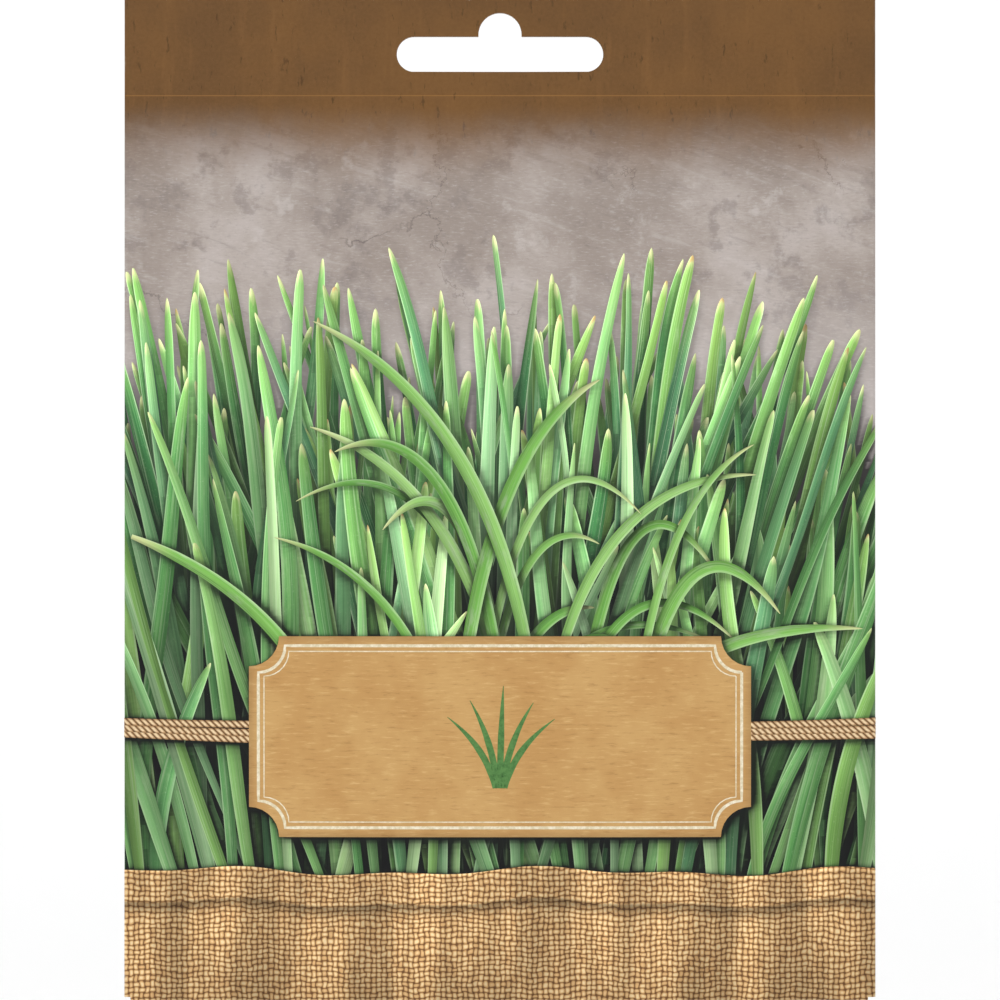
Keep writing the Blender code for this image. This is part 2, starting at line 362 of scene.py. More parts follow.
def fill_map(obj, across, height):
    """The map that the printed panel is laid out flat in, from its left and low edge to its right and top."""
    layer = obj.data.uv_layers.new(name="OFBake")
    low_x, high_x = across.min(), across.max()
    low_z, high_z = height.min(), height.max()
    u = 0.002 + 0.996 * (across - low_x) / (high_x - low_x)
    v = 0.002 + 0.996 * (height - low_z) / (high_z - low_z)
    layer.data.foreach_set("uv", np.stack([u, v], axis=-1).astype(np.float32).ravel())


def dress(obj, body="root"):
    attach(obj, body)
    return obj


# Shader and geometry trees


class Nodes:
    """Adds nodes to a tree, each with its settings and what feeds its sockets."""

    def __init__(self, tree):
        self.tree = tree

    def feed(self, socket, value):
        if isinstance(value, bpy.types.NodeSocket):
            self.tree.links.new(value, socket)
        else:
            socket.default_value = value

    def add(self, kind, feeds=None, **settings):
        node = self.tree.nodes.new(kind)
        for name, value in settings.items():
            setattr(node, name, value)
        for name, value in (feeds or {}).items():
            self.feed(node.inputs[name], value)
        return node

    def feed_all(self, node, values):
        """Feeds a node's sockets in order."""
        for socket, value in zip(node.inputs, values):
            self.feed(socket, value)
        return node.outputs[0]

    def maths(self, operation, *values, clamp=False):
        return self.feed_all(self.add("ShaderNodeMath", operation=operation, use_clamp=clamp), values)

    def plus(self, first, second):
        return self.maths("ADD", first, second)

    def minus(self, first, second):
        return self.maths("SUBTRACT", first, second)

    def times(self, first, *others):
        for other in others:
            first = self.maths("MULTIPLY", first, other)
        return first

    def blend(self, share, first, second):
        """A number between two others."""
        node = self.add("ShaderNodeMix", {"Factor": share}, data_type="FLOAT")
        self.feed(node.inputs[2], first)
        self.feed(node.inputs[3], second)
        return node.outputs[0]

    def vector(self, operation, *values):
        return self.feed_all(self.add("ShaderNodeVectorMath", operation=operation), values)

    def ease(self, value, start, end, low=0.0, high=1.0):
        """low before start, high after end, and smooth between them."""
        node = self.add("ShaderNodeMapRange", interpolation_type="SMOOTHSTEP")
        names = ("Value", "From Min", "From Max", "To Min", "To Max")
        for name, fed in zip(names, (value, start, end, low, high)):
            self.feed(node.inputs[name], fed)
        return node.outputs["Result"]

    def mix(self, share, first, second, blend="MIX"):
        node = self.add("ShaderNodeMix", data_type="RGBA", blend_type=blend)
        self.feed(node.inputs["Factor"], share)
        self.feed(node.inputs[6], linear(first) if isinstance(first, str) else first)
        self.feed(node.inputs[7], linear(second) if isinstance(second, str) else second)
        return node.outputs[2]

    def layered(self, colour, *layers):
        """A colour with others over it. A layer is its pattern, where it begins, where it is full, how strong
        it then is, and its colour."""
        for pattern, start, full, strength, over in layers:
            colour = self.mix(self.ease(pattern, start, full, 0.0, strength), colour, over)
        return colour

    def scaled(self, colour, value):
        """A colour made lighter or darker by a value."""
        node = self.add("ShaderNodeVectorMath", operation="SCALE")
        self.feed(node.inputs[0], colour)
        self.feed(node.inputs["Scale"], value)
        return node.outputs[0]

    def noise(self, place, scale, detail=2.0, roughness=0.5):
        node = self.add("ShaderNodeTexNoise", {"Vector": place, "Scale": scale, "Detail": detail})
        node.inputs["Roughness"].default_value = roughness
        return node.outputs[0]

    def split(self, vector):
        return self.add("ShaderNodeSeparateXYZ", {"Vector": vector}).outputs

    def join(self, x, y, z):
        return self.feed_all(self.add("ShaderNodeCombineXYZ"), (x, y, z))

    def ramp(self, value, stops):
        node = self.add("ShaderNodeValToRGB", {"Fac": value})
        line = node.color_ramp
        for place, code in stops[1:-1]:
            line.elements.new(place).color = linear(code)
        line.elements[0].color = linear(stops[0][1])
        line.elements[-1].color = linear(stops[-1][1])
        return node.outputs["Color"]

    def attribute(self, name):
        return self.add("ShaderNodeAttribute", attribute_name=name).outputs["Vector"]

    def number(self, name):
        """A number that the mesh's points or corners carry."""
        return self.add("ShaderNodeAttribute", attribute_name=name).outputs["Fac"]

    def apart(self, first, second):
        """How far apart two numbers are."""
        return self.maths("ABSOLUTE", self.minus(first, second))

    def millimetres(self):
        """The place on the object, in millimetres."""
        place = self.add("ShaderNodeTexCoord").outputs["Object"]
        return self.vector("MULTIPLY", place, (1 / MM, 1 / MM, 1 / MM))

    def on_print(self):
        """The place on the flat print in millimetres, then its x and its z alone."""
        x, _, z = self.split(self.millimetres())
        return self.join(x, 0.0, z), x, z


def new_group(name, takes, gives, kind="ShaderNodeTree"):
    """A tree with named inputs and outputs, each with its kind. An input may have a value too."""
    tree = bpy.data.node_groups.new(name, kind)
    for label, (socket_kind, *value) in takes.items():
        socket = tree.interface.new_socket(label, in_out="INPUT", socket_type="NodeSocket" + socket_kind)
        if value:
            socket.default_value = value[0]
    for label, socket_kind in gives.items():
        tree.interface.new_socket(label, in_out="OUTPUT", socket_type="NodeSocket" + socket_kind)
    nodes = Nodes(tree)
    return tree, nodes, nodes.add("NodeGroupInput").outputs, nodes.add("NodeGroupOutput").inputs


def make_paper_grain():
    """Fibres and the faint unevenness of a paper's face, for its bump, its gloss and its tint."""
    takes = {"Fibre": ("Float", 1.0), "Cloud": ("Float", 1.0)}
    gives = {"Height": "Float", "Gloss": "Float", "Tint": "Float"}
    tree, n, taken, given = new_group("paper grain", takes, gives)
    place = n.millimetres()
    fibre = n.noise(n.vector("MULTIPLY", place, (1.0, 1.0, 0.35)), 9.0, 3.0, 0.65)
    cross = n.noise(n.vector("MULTIPLY", place, (0.35, 1.0, 1.0)), 7.0, 2.0, 0.6)
    cloud = n.noise(place, 0.22, 3.0, 0.55)
    fine = n.times(n.minus(n.plus(fibre, cross), 1.0), taken["Fibre"])
    soft = n.times(n.minus(cloud, 0.5), taken["Cloud"])
    n.feed(given["Height"], n.plus(fine, n.times(soft, 0.4)))
    n.feed(given["Gloss"], n.plus(n.times(fine, 0.12), n.times(soft, 0.22)))
    n.feed(given["Tint"], n.plus(1.0, n.times(fine, 0.05)))
    return tree


def make_rubbed_edges():
    """Where handling has rubbed the print: along the side folds, the top and bottom edges and the corners."""
    tree, n, taken, given = new_group("rubbed edges", {"Amount": ("Float", 1.0)}, {"Mask": "Float"})
    place = n.millimetres()
    x, _, z = n.split(place)
    side = n.minus(HALF_WIDTH / MM, n.maths("ABSOLUTE", x))
    end = n.minus(PACKET_HEIGHT / 2 / MM, n.apart(z, (TOP + BOTTOM) / 2 / MM))
    corner = n.times(n.plus(side, end), 0.4)
    near = n.maths("MINIMUM", n.maths("MINIMUM", side, n.plus(end, 0.1)), corner)
    worn = n.noise(n.vector("MULTIPLY", place, (1.0, 1.0, 0.5)), 0.55, 4.0, 0.7)
    reach = n.times(n.minus(worn, 0.56), 1.8)
    rubbed = n.ease(n.minus(near, reach), 0.0, 0.16, 1.0, 0.0)
    grit = n.ease(n.noise(place, 4.5, 2.0, 0.6), 0.40, 0.62)
    n.feed(given["Mask"], n.times(rubbed, grit, taken["Amount"]))
    return tree


def make_header_brown():
    """The header's brown, cloudy and streaked from its top down, with dark smudges and flecks."""
    tree, n, taken, given = new_group("header brown", {"Smudges": ("Float", 1.0)}, {"Colour": "Color"})
    flat, x, z = n.on_print()
    cloud = n.noise(flat, 0.035, 4.0, 0.6)
    grit = n.noise(flat, 1.6, 3.0, 0.7)
    streak = n.noise(n.join(x, 3.0, n.times(z, 0.16)), 0.35, 5.0, 0.62)
    smudge = n.noise(n.join(n.times(x, 1.3), 8.0, n.times(z, 0.40)), 0.85, 4.0, 0.66)
    fleck = n.noise(n.join(x, 5.0, n.times(z, 0.6)), 2.4, 3.0, 0.7)
    brown = n.layered(
        BROWN_DARK,
        (cloud, 0.36, 0.66, 1.0, BROWN),
        (streak, 0.52, 0.78, 0.55, BROWN_LIGHT),
        (streak, 0.44, 0.28, 0.50, BROWN_DARK),
    )
    brown = n.mix(0.14, brown, n.mix(grit, *HEADER_GRIT))
    brown = n.layered(
        brown,
        (fleck, 0.66, 0.74, 0.42, HEADER_SMUDGE),
        (fleck, 0.32, 0.24, 0.30, HEADER_GRIT[1]),
    )
    smudged = n.times(n.ease(smudge, 0.60, 0.71, 0.0, 0.62), taken["Smudges"])
    n.feed(given["Colour"], n.mix(smudged, brown, HEADER_SMUDGE))
    return tree


def make_leaf_veins():
    """A blade's lengthwise veins, finer streaks and pale bloom. Across is from -1 to 1, Along in mm."""
    takes = {"Across": ("Float", 0.0), "Along": ("Float", 0.0), "Seed": ("Float", 0.0)}
    gives = {"Vein": "Float", "Streak": "Float", "Bloom": "Float"}
    tree, n, taken, given = new_group("leaf veins", takes, gives)
    across, along, seed = taken["Across"], taken["Along"], taken["Seed"]
    n.feed(given["Vein"], n.noise(n.join(n.times(across, 2.6), n.times(along, 0.05), seed), 1.0, 4.0, 0.6))
    n.feed(given["Streak"], n.noise(n.join(n.times(across, 7.5), n.times(along, 0.035), seed), 1.0, 2.0))
    n.feed(given["Bloom"], n.noise(n.join(across, n.times(along, 0.16), n.plus(seed, 40.0)), 1.0, 4.0, 0.65))
    return tree


PAPER_GRAIN = make_paper_grain()
RUBBED_EDGES = make_rubbed_edges()
HEADER_BROWN = make_header_brown()
LEAF_VEINS = make_leaf_veins()


def new_material(name):
    made = bpy.data.materials.new(name)
    made.use_nodes = True
    made.node_tree.nodes.clear()
    return made, Nodes(made.node_tree)


def finish_material(n, colour, roughness, bump=None, gloss=None, depth=0.02, specular=0.5, **sockets):
    """The material's one Principled shader. Gloss varies its roughness, and bump gives its relief in mm."""
    shader = n.add("ShaderNodeBsdfPrincipled")
    n.feed(shader.inputs["Base Color"], colour)
    shader.inputs["Specular IOR Level"].default_value = specular
    if gloss is None:
        shader.inputs["Roughness"].default_value = roughness
    else:
        n.feed(shader.inputs["Roughness"], n.maths("ADD", roughness, gloss, clamp=True))
    if bump is not None:
        relief = n.add("ShaderNodeBump", {"Height": bump, "Distance": depth * MM, "Strength": 1.0})
        n.feed(shader.inputs["Normal"], relief.outputs["Normal"])
    for name, value in sockets.items():
        shader.inputs[name.replace("_", " ")].default_value = value
    out = n.add("ShaderNodeOutputMaterial")
    n.feed(out.inputs["Surface"], shader.outputs[0])


def group_node(n, tree, feeds=None):
    node = n.add("ShaderNodeGroup")
    node.node_tree = tree
    for name, value in (feeds or {}).items():
        n.feed(node.inputs[name], value)
    return node.outputs


def finish_print(n, colour, rub=0.15, roughness=0.42):
    """Ink on coated paper: it shows the fibres a little, and the white paper where it is rubbed."""
    grain = group_node(n, PAPER_GRAIN, {"Fibre": 0.6, "Cloud": 1.0})
    rubbed = group_node(n, RUBBED_EDGES, {"Amount": rub})["Mask"]
    tinted = n.scaled(colour, grain["Tint"])
    shown = n.mix(rubbed, tinted, WHITE_PAPER)
    gloss = n.plus(grain["Gloss"], n.times(rubbed, 0.3))
    finish_material(n, shown, roughness, grain["Height"], gloss, depth=0.010, specular=0.16)


# The printed wall behind the chives


def plaster_colour(n, flat, cloud):
    """Mottled plaster, brushed from side to side, with damp blots, pits and fine cracks, paler low down."""
    x, _, z = n.split(flat)
    patch = n.noise(n.vector("ADD", flat, (31.0, 0.0, 7.0)), 0.050, 8.0, 0.60)
    stain = n.noise(n.vector("ADD", flat, (5.0, 9.0, 47.0)), 0.17, 7.0, 0.68)
    blot = n.noise(n.vector("ADD", flat, (70.0, 0.0, 12.0)), 0.075, 7.0, 0.66)
    slant = n.vector("ADD", flat, n.join(n.times(stain, 3.0), 0.0, n.times(x, 0.35)))
    trowel = n.noise(n.vector("MULTIPLY", slant, (0.16, 1.0, 1.0)), 0.50, 6.0, 0.66)
    brush = n.noise(n.join(n.times(x, 0.5), 2.0, n.times(z, 2.4)), 1.5, 4.0, 0.7)
    grain = n.noise(flat, 1.6, 3.0, 0.7)
    pit = n.noise(flat, 2.7, 2.0, 0.6)
    bend = n.vector("MULTIPLY", n.join(stain, 0.0, patch), (26.0, 0.0, 26.0))
    bent = n.vector("ADD", flat, bend)
    cells = n.add("ShaderNodeTexVoronoi", {"Vector": bent, "Scale": 0.030}, feature="DISTANCE_TO_EDGE")
    crack = n.times(n.ease(cells.outputs["Distance"], 0.010, 0.0), n.ease(cloud, 0.50, 0.60))
    return n.layered(
        PLASTER_DARK,
        (patch, 0.40, 0.60, 1.00, PLASTER),
        (patch, 0.54, 0.68, 0.55, PLASTER_LIGHT),
        (stain, 0.53, 0.64, 0.50, PLASTER_SHADE),
        (stain, 0.42, 0.30, 0.45, PLASTER_CHALK),
        (trowel, 0.54, 0.66, 0.24, PLASTER_CHALK),
        (trowel, 0.44, 0.34, 0.26, PLASTER_DAMP),
        (blot, 0.57, 0.66, 0.55, PLASTER_DAMP),
        (brush, 0.52, 0.70, 0.42, PLASTER_CHALK),
        (brush, 0.46, 0.30, 0.36, PLASTER_SHADE),
        (grain, 0.60, 0.74, 0.30, PLASTER_CHALK),
        (pit, 0.30, 0.22, 0.45, PLASTER_PIT),
        (crack, 0.0, 1.0, 0.55, PLASTER_CRACK),
        (z, -38.0, -66.0, 0.50, PLASTER_PALE),
    )


def make_wall_print():
    """A brown header that fades into mottled plaster, dark between the stems low down."""
    made, n = new_material("printed_wall")
    flat, _, z = n.on_print()
    light = n.split(n.attribute("print_light"))[0]
    cloud = n.noise(flat, 0.035, 4.0, 0.6)
    uneven = n.minus(cloud, 0.5)
    fade = n.ease(n.plus(z, n.times(uneven, 5.0)), FADE_LOW / MM, FADE_TOP / MM)
    brown = group_node(n, HEADER_BROWN)["Colour"]
    off_line = n.apart(z, SEAL_LINE / MM)
    wall = n.layered(
        n.mix(fade, plaster_colour(n, flat, cloud), brown),
        (off_line, 0.11, 0.04, 0.42, PRESSED_INK),
        (n.plus(z, n.times(uneven, 18.0)), -74.0, -92.0, 1.0, AMONG_STEMS),
    )
    deep = n.ease(z, -46.0, -74.0, 0.30, 0.94)
    shade = n.times(n.ease(light, 0.85, 0.10), deep)
    finish_print(n, n.mix(shade, wall, SHADOW))
    return made


# The printed chive blades


def chive_colour(n, across, along, seed, tone, height, hue):
    """A blade's own green, with its veins, streaks and bloom, its pale lit rim and its yellow or dry tip."""
    veins = group_node(n, LEAF_VEINS, {"Across": across, "Along": along, "Seed": seed})
    vein, streak, bloom = veins["Vein"], veins["Streak"], veins["Bloom"]
    speck = n.noise(n.join(n.times(across, 2.0), n.times(along, 1.4), seed), 2.0, 3.0, 0.7)

    tone = n.plus(tone, n.times(n.minus(vein, 0.5), 0.58))
    tone = n.plus(tone, n.times(n.minus(bloom, 0.5), 0.26))
    tip = n.plus(height, n.times(n.minus(bloom, 0.5), 0.05))
    dry = n.times(n.ease(tip, 0.985, 1.0), n.ease(hue, 0.78, 0.84))
    rim = n.times(n.ease(across, -0.74, -0.90), n.ease(across, -1.02, -0.93))
    return n.layered(
        n.ramp(tone, LEAF_RAMP),
        (hue, 0.45, 0.0, 0.45, LEAF_BLUE),
        (hue, 0.55, 1.0, 0.42, LEAF_YELLOW),
        (streak, 0.52, 0.74, 0.42, LEAF_PALE),
        (streak, 0.46, 0.28, 0.34, LEAF_VEIN),
        (bloom, 0.58, 0.80, 0.34, LEAF_PALE),
        (speck, 0.60, 0.76, 0.34, LEAF_PALE),
        (height, 0.84, 1.0, 0.30, LEAF_YELLOW),
        (tip, 0.970, 1.0, 0.72, LEAF_TIP),
        (dry, 0.0, 1.0, 0.85, LEAF_DRY),
        (rim, 0.0, 1.0, 0.42, LEAF_PALE),
    )


def chive_light(n, across, height, depth, face):
    """How light a blade is: rounded, with a rib, lighter at its top, darker behind and towards the sides."""
    round_light = n.ease(across, -0.85, 1.0, 1.16, 0.62)
    rib = n.ease(n.apart(across, 0.12), 0.0, 0.20, 0.90, 1.0)
    foot = n.ease(height, 0.10, 0.75, n.maths("MULTIPLY_ADD", depth, 0.72, 0.02), 1.0)
    row_light = n.ease(depth, 0.0, 1.0, n.ease(height, 0.54, 1.0, 0.32, 1.08), 1.12)
    top_light = n.ease(height, 0.36, 0.98, 0.85, 1.62)
    x, _, z = n.split(n.millimetres())
    side = n.ease(n.apart(x, 6.0), 22.0, 58.0)
    belt = n.times(n.ease(z, -56.0, -74.0), n.ease(z, -124.0, -108.0))
    side_light = n.minus(1.0, n.times(side, belt, 0.38))
    return n.times(round_light, rib, foot, face, row_light, top_light, side_light)


def make_chive_print():
    """The printed blades in their own colours, with their neighbours' shade on them."""
    made, n = new_material("printed_chives")
    across, along, seed = n.split(n.attribute("blade_place"))
    tone, height, light = n.split(n.attribute("blade_look"))
    hue, depth, face = n.split(n.attribute("blade_kind"))
    colour = chive_colour(n, across, along, seed, tone, height, hue)
    leaf = n.scaled(colour, chive_light(n, across, height, depth, face))
    shade = n.times(n.ease(light, 1.0, 0.26), n.ease(height, 0.45, 0.90, 0.98, 0.66))
    finish_print(n, n.mix(shade, leaf, SHADOW))
    return made


# How far the roots reach to both sides, and the tallest blade, in mm
ROOT_REACH = 63.0
TALLEST_BLADE = 103.0

BLADE_ROWS = (
    # Count, shortest, longest, thin, wide, dull, bright, depth, spread
    (120, 0.66, 1.00, 0.70, 1.15, 0.05, 0.45, 0.10, 0.10),
    (125, 0.60, 1.00, 0.80, 1.30, 0.12, 0.62, 0.45, 0.12),
    (110, 0.50, 1.00, 0.90, 1.45, 0.25, 0.80, 0.75, 0.13),
    (70, 0.42, 0.90, 0.95, 1.50, 0.40, 0.95, 1.00, 0.14),
    (38, 0.30, 0.74, 0.90, 1.40, 0.50, 1.00, 1.00, 0.16),
)


class Blades:
    """All printed blades, as arrays with one value for each, from the back one to the front one."""

    def __init__(self):
        draw = np.random.default_rng(2611)
        rows = [self.row(draw, *size) for size in BLADE_ROWS]
        for name in rows[0]:
            setattr(self, name, np.concatenate([row[name] for row in rows]))
        self.count = len(self.root)

    @staticmethod
    def row(draw, count, shortest, longest, thin, wide, dull, bright, depth, spread):
        """One row of blades. Lengths are shares of the crown's height, and spread is how far they lean."""
        root = draw.permutation(steps(-ROOT_REACH, ROOT_REACH, count - 1)) + draw.normal(0.0, 1.2, count)
        lean = 0.20 * root / 60 + draw.normal(0.0, spread, count)
        share = draw.uniform(shortest, longest, count) ** 0.8
        crown = TALLEST_BLADE - 15.0 * (np.abs(root + 8.0) / 60) ** 2 + 5.0 * np.sin(root / 9.0)
        length = share * crown
        half = draw.uniform(thin, wide, count)
        return {
            "root": root,
            "lean": lean,
            "length": length,
            "half": half,
            "bend": draw.normal(0.0, 5.0, count) + 4.0 * np.sign(lean) * (np.abs(lean) > spread),
            "sway": draw.normal(0.0, 0.55, count),
            "sway_start": draw.uniform(0.0, 2 * math.pi, count),
            "tip": draw.uniform(2.0, 8.0, count) * half,
            "turn": draw.uniform(0.0, math.pi, count),
            "twist": draw.choice((0.0, 0.0, 0.0, 1.4, 2.4), count),
            "side": draw.choice((-1.0, 1.0, 1.0), count),
            "tone": draw.uniform(dull, bright, count),
            "hue": draw.uniform(0.0, 1.0, count),
            "seed": draw.uniform(0.0, 90.0, count),
            "depth": np.full(count, depth),
        }

    def shares(self, z):
        """How far up each blade a height is. Rows are blades, columns heights."""
        return (z[None, :] - ROOT_LINE / MM) / self.length[:, None]

    def at(self, z):
        """Each blade's left and right edge, middle and half width at some heights, in mm."""
        share = np.clip(self.shares(z), 0.0, 1.0)
        rise = share * self.length[:, None]
        middle = self.root[:, None] + np.tan(self.lean)[:, None] * rise + self.bend[:, None] * share**2
        middle += self.sway[:, None] * np.sin(rise / 11.0 + self.sway_start[:, None])
        turned = np.abs(np.cos(self.turn[:, None] + self.twist[:, None] * share))
        width = np.where(self.twist[:, None] > 0, 0.50 + 0.50 * turned, 1.0)
        width = width * (0.46 + 0.56 * np.sin(math.pi * np.clip(share * 0.86 + 0.1, 0, 1)) ** 0.8)
        tip = np.clip((share - 1) * self.length[:, None] / self.tip[:, None] + 1, 0.0, 1.0)
        half = self.half[:, None] * width * np.sqrt(1 - tip**2) / np.cos(self.lean)[:, None]
        return middle - half, middle + half, middle, half


# The widest faces of the print, in mm, on the panel and in the folds, and the least width that is kept
OPEN_FACE = 1.2
FOLD_FACE = 0.16
THINNEST_FACE = 0.002
BARE_EDGE = 0.03

# Ranks of what isn't a blade, whose ranks are their numbers from the back to the front
WALL = -1
LOOSE = 500
HOLE = 10_000
COVER = 20_000


def arc(middle_x, middle_z, radius, first, last, count=24):
    """Points along a round stretch. Its angles are in degrees."""
    turns = np.radians(steps(first, last, count))
    return list(zip(middle_x + radius * np.cos(turns), middle_z + radius * np.sin(turns)))


def slot_outline():
    """The hang slot: a bar with round ends, and a hump over its middle."""
    return [
        *arc(BAR_END, BAR_MIDDLE, BAR_RADIUS, -90, 90),
        (SLOT_HUMP_RADIUS, BAR_MIDDLE + BAR_RADIUS),
        *arc(0.0, -SLOT_HUMP_RADIUS, SLOT_HUMP_RADIUS, 0, 180),
        (-SLOT_HUMP_RADIUS, BAR_MIDDLE + BAR_RADIUS),
        *arc(-BAR_END, BAR_MIDDLE, BAR_RADIUS, 90, 270),
    ]


def slot_half(z):
    """The hang slot's half width at a height, in mm, with its cut edge left bare."""
    bar, hump = BAR_RADIUS / MM, SLOT_HUMP_RADIUS / MM
    off = abs(z - BAR_MIDDLE / MM)
    if off <= bar:
        return BAR_END / MM + math.sqrt(bar**2 - off**2) + BARE_EDGE
    if z < -hump:
        return hump + BARE_EDGE
    return math.sqrt(max(0.0, hump**2 - (z + hump) ** 2)) + BARE_EDGE


def print_lines():
    """Heights at which the print's faces begin and end, in mm, close together where there are blades."""
    low, crown = ROOT_LINE / MM + 1.5, CROWN_LINE / MM
    pressed = LINE_ROWS / MM
    slot = [z / MM for _, z in slot_outline()]
    wall, header = steps(crown, pressed[0], 26), steps(pressed[-1], TOP / MM, 12)
    lines = np.concatenate([steps(low, crown, 360), wall, pressed, header, slot])
    return np.unique(np.round(lines, 4))


def visible_spans(lefts, rights, ranks, low, high):
    """What shows between low and high along one height: (start edge, end edge, owner) from left to right.
    An edge is (rank, side), with None at the sheet's own ends."""
    events = sorted([(x, 0, r) for x, r in zip(lefts, ranks)] + [(x, 1, r) for x, r in zip(rights, ranks)])
    active, spans = set(), []
    top, start = WALL, (None, 0)
    for x, side, rank in events:
        if side == 0:
            active.add(rank)
        else:
            active.discard(rank)
        if x <= low:
            top = max(active, default=WALL)
            continue
        if x >= high:
            break
        now = max(active, default=WALL)
        if now != top:
            spans.append((start, (rank, side), top))
            top, start = now, (rank, side)
    spans.append((start, (None, 1), top))
    return spans


def ends_on(ends, edges, line, low, high):
    """The places of the spans' ends on a height line, in order and on the sheet."""
    places = [(low, high)[side] if rank is None else edges[side][rank][line] for rank, side in ends]
    return np.maximum.accumulate(np.clip(places, low, high))


def cut_at(place, below, above, owners):
    """Divides the spans that cross an upright line. Below and above hold their ends on two heights."""
    new_below, new_above, new_owners = [below[0]], [above[0]], []
    for i, owner in enumerate(owners):
        if min(below[i], above[i]) < place < max(below[i + 1], above[i + 1]):
            new_below.append(np.clip(place, below[i], below[i + 1]))
            new_above.append(np.clip(place, above[i], above[i + 1]))
            new_owners.append(owner)
        new_below.append(below[i + 1])
        new_above.append(above[i + 1])
        new_owners.append(owner)
    return new_below, new_above, new_owners


def divided(below_start, below_end, above_start, above_end):
    """A span's faces, narrow enough to follow the paper: the places of their sides below and above."""
    first, last = min(below_start, above_start), max(below_end, above_end)
    in_fold = last <= LEFT_TANGENT / MM or first >= RIGHT_TANGENT / MM
    count = max(1, math.ceil((last - first) / (FOLD_FACE if in_fold else OPEN_FACE)))
    below, above = steps(below_start, below_end, count), steps(above_start, above_end, count)
    for k in range(count):
        if below[k + 1] - below[k] + above[k + 1] - above[k] > 2 * THINNEST_FACE:
            yield below[k], below[k + 1], above[k], above[k + 1]


def print_rows(blades, lines):
    """The print's faces, row by row: the height line's number, the places of each face's sides on the row's
    lower and upper line, and whose they are."""
    low, high = PRINT_LEFT / MM, PRINT_RIGHT / MM
    left, right, _, _ = blades.at(lines)
    middles = (lines[1:] + lines[:-1]) / 2
    mid_left, mid_right, _, _ = blades.at(middles)
    shares = blades.shares(middles)
    slot = np.array([slot_half(z) for z in lines])
    edges = ({**dict(enumerate(left)), HOLE: -slot}, {**dict(enumerate(right)), HOLE: slot})
    for row, z in enumerate(middles):
        there = np.flatnonzero((shares[:, row] > 0) & (shares[:, row] < 1))
        lefts, rights, ranks = list(mid_left[there, row]), list(mid_right[there, row]), list(there)
        if -SLOT_HEIGHT / MM < z < 0:
            lefts.append(-slot_half(z))
            rights.append(slot_half(z))
            ranks.append(HOLE)
        spans = visible_spans(lefts, rights, ranks, low, high)
        ends = [spans[0][0]] + [end for _, end, _ in spans]
        owners = [owner for _, _, owner in spans]
        below, above = (ends_on(ends, edges, line, low, high) for line in (row, row + 1))
        for place in (LEFT_TANGENT / MM, RIGHT_TANGENT / MM):
            below, above, owners = cut_at(place, below, above, owners)
        for owner, *sides in zip(owners, below[:-1], below[1:], above[:-1], above[1:]):
            if owner != HOLE:
                yield from ((row, *face, owner) for face in divided(*sides))


# What lies in front of the blades, for its shade on them


TWINE_HALF = 0.56
TWINE_SPACING = 1.15
TWINE_WRAPS = 3


def burlap_edge(x):
    """The burlap's upper edge, in mm."""
    return BURLAP_EDGE / MM + 0.55 * np.sin(x / 8.5 + 0.7) + 0.35 * np.sin(x / 3.7)


def twine_place(x, wrap):
    """The middle of one wrap of the twine, in mm."""
    slack = 0.25 * np.sin(x / 17.0 + wrap) + 0.9 * (x / 60) ** 2
    return TWINE_LINE / MM + TWINE_SPACING * (wrap - 1) + slack


def in_label(x, z):
    """Whether a place in mm is inside the label, past its scooped corners."""
    off_x = LABEL_SIZE[0] / 2 / MM - np.abs(x)
    off_z = LABEL_SIZE[1] / 2 / MM - np.abs(z - LABEL_MIDDLE / MM)
    scooped = off_x**2 + off_z**2 < (LABEL_CORNER / MM) ** 2
    return (off_x > 0) & (off_z > 0) & ~scooped


# The chart's cell and margin, in mm
CELL = 0.15
CHART_MARGIN = 4.0

# The shade: the distance in mm and the weight of each ring of samples round a place, the samples in a ring,
# how far the rings' middles lie towards the light, the shade's depth, and how many ranks apart it is full
SHADE_RINGS = ((0.4, 1.0), (0.8, 1.0), (1.4, 0.8), (2.3, 0.6), (3.8, 0.5))
SHADE_TURNS = 18
TOWARDS_LIGHT = (-0.45, 0.50)
SHADE_DEPTH = 1.52
FULL_SHADE_RANKS = 70
LOOSE_RANKS_APART = 60


def loose_rank(number):
    """Where a loose blade lies, among the ranks of what is drawn from the back to the front."""
    return LOOSE + LOOSE_RANKS_APART * number


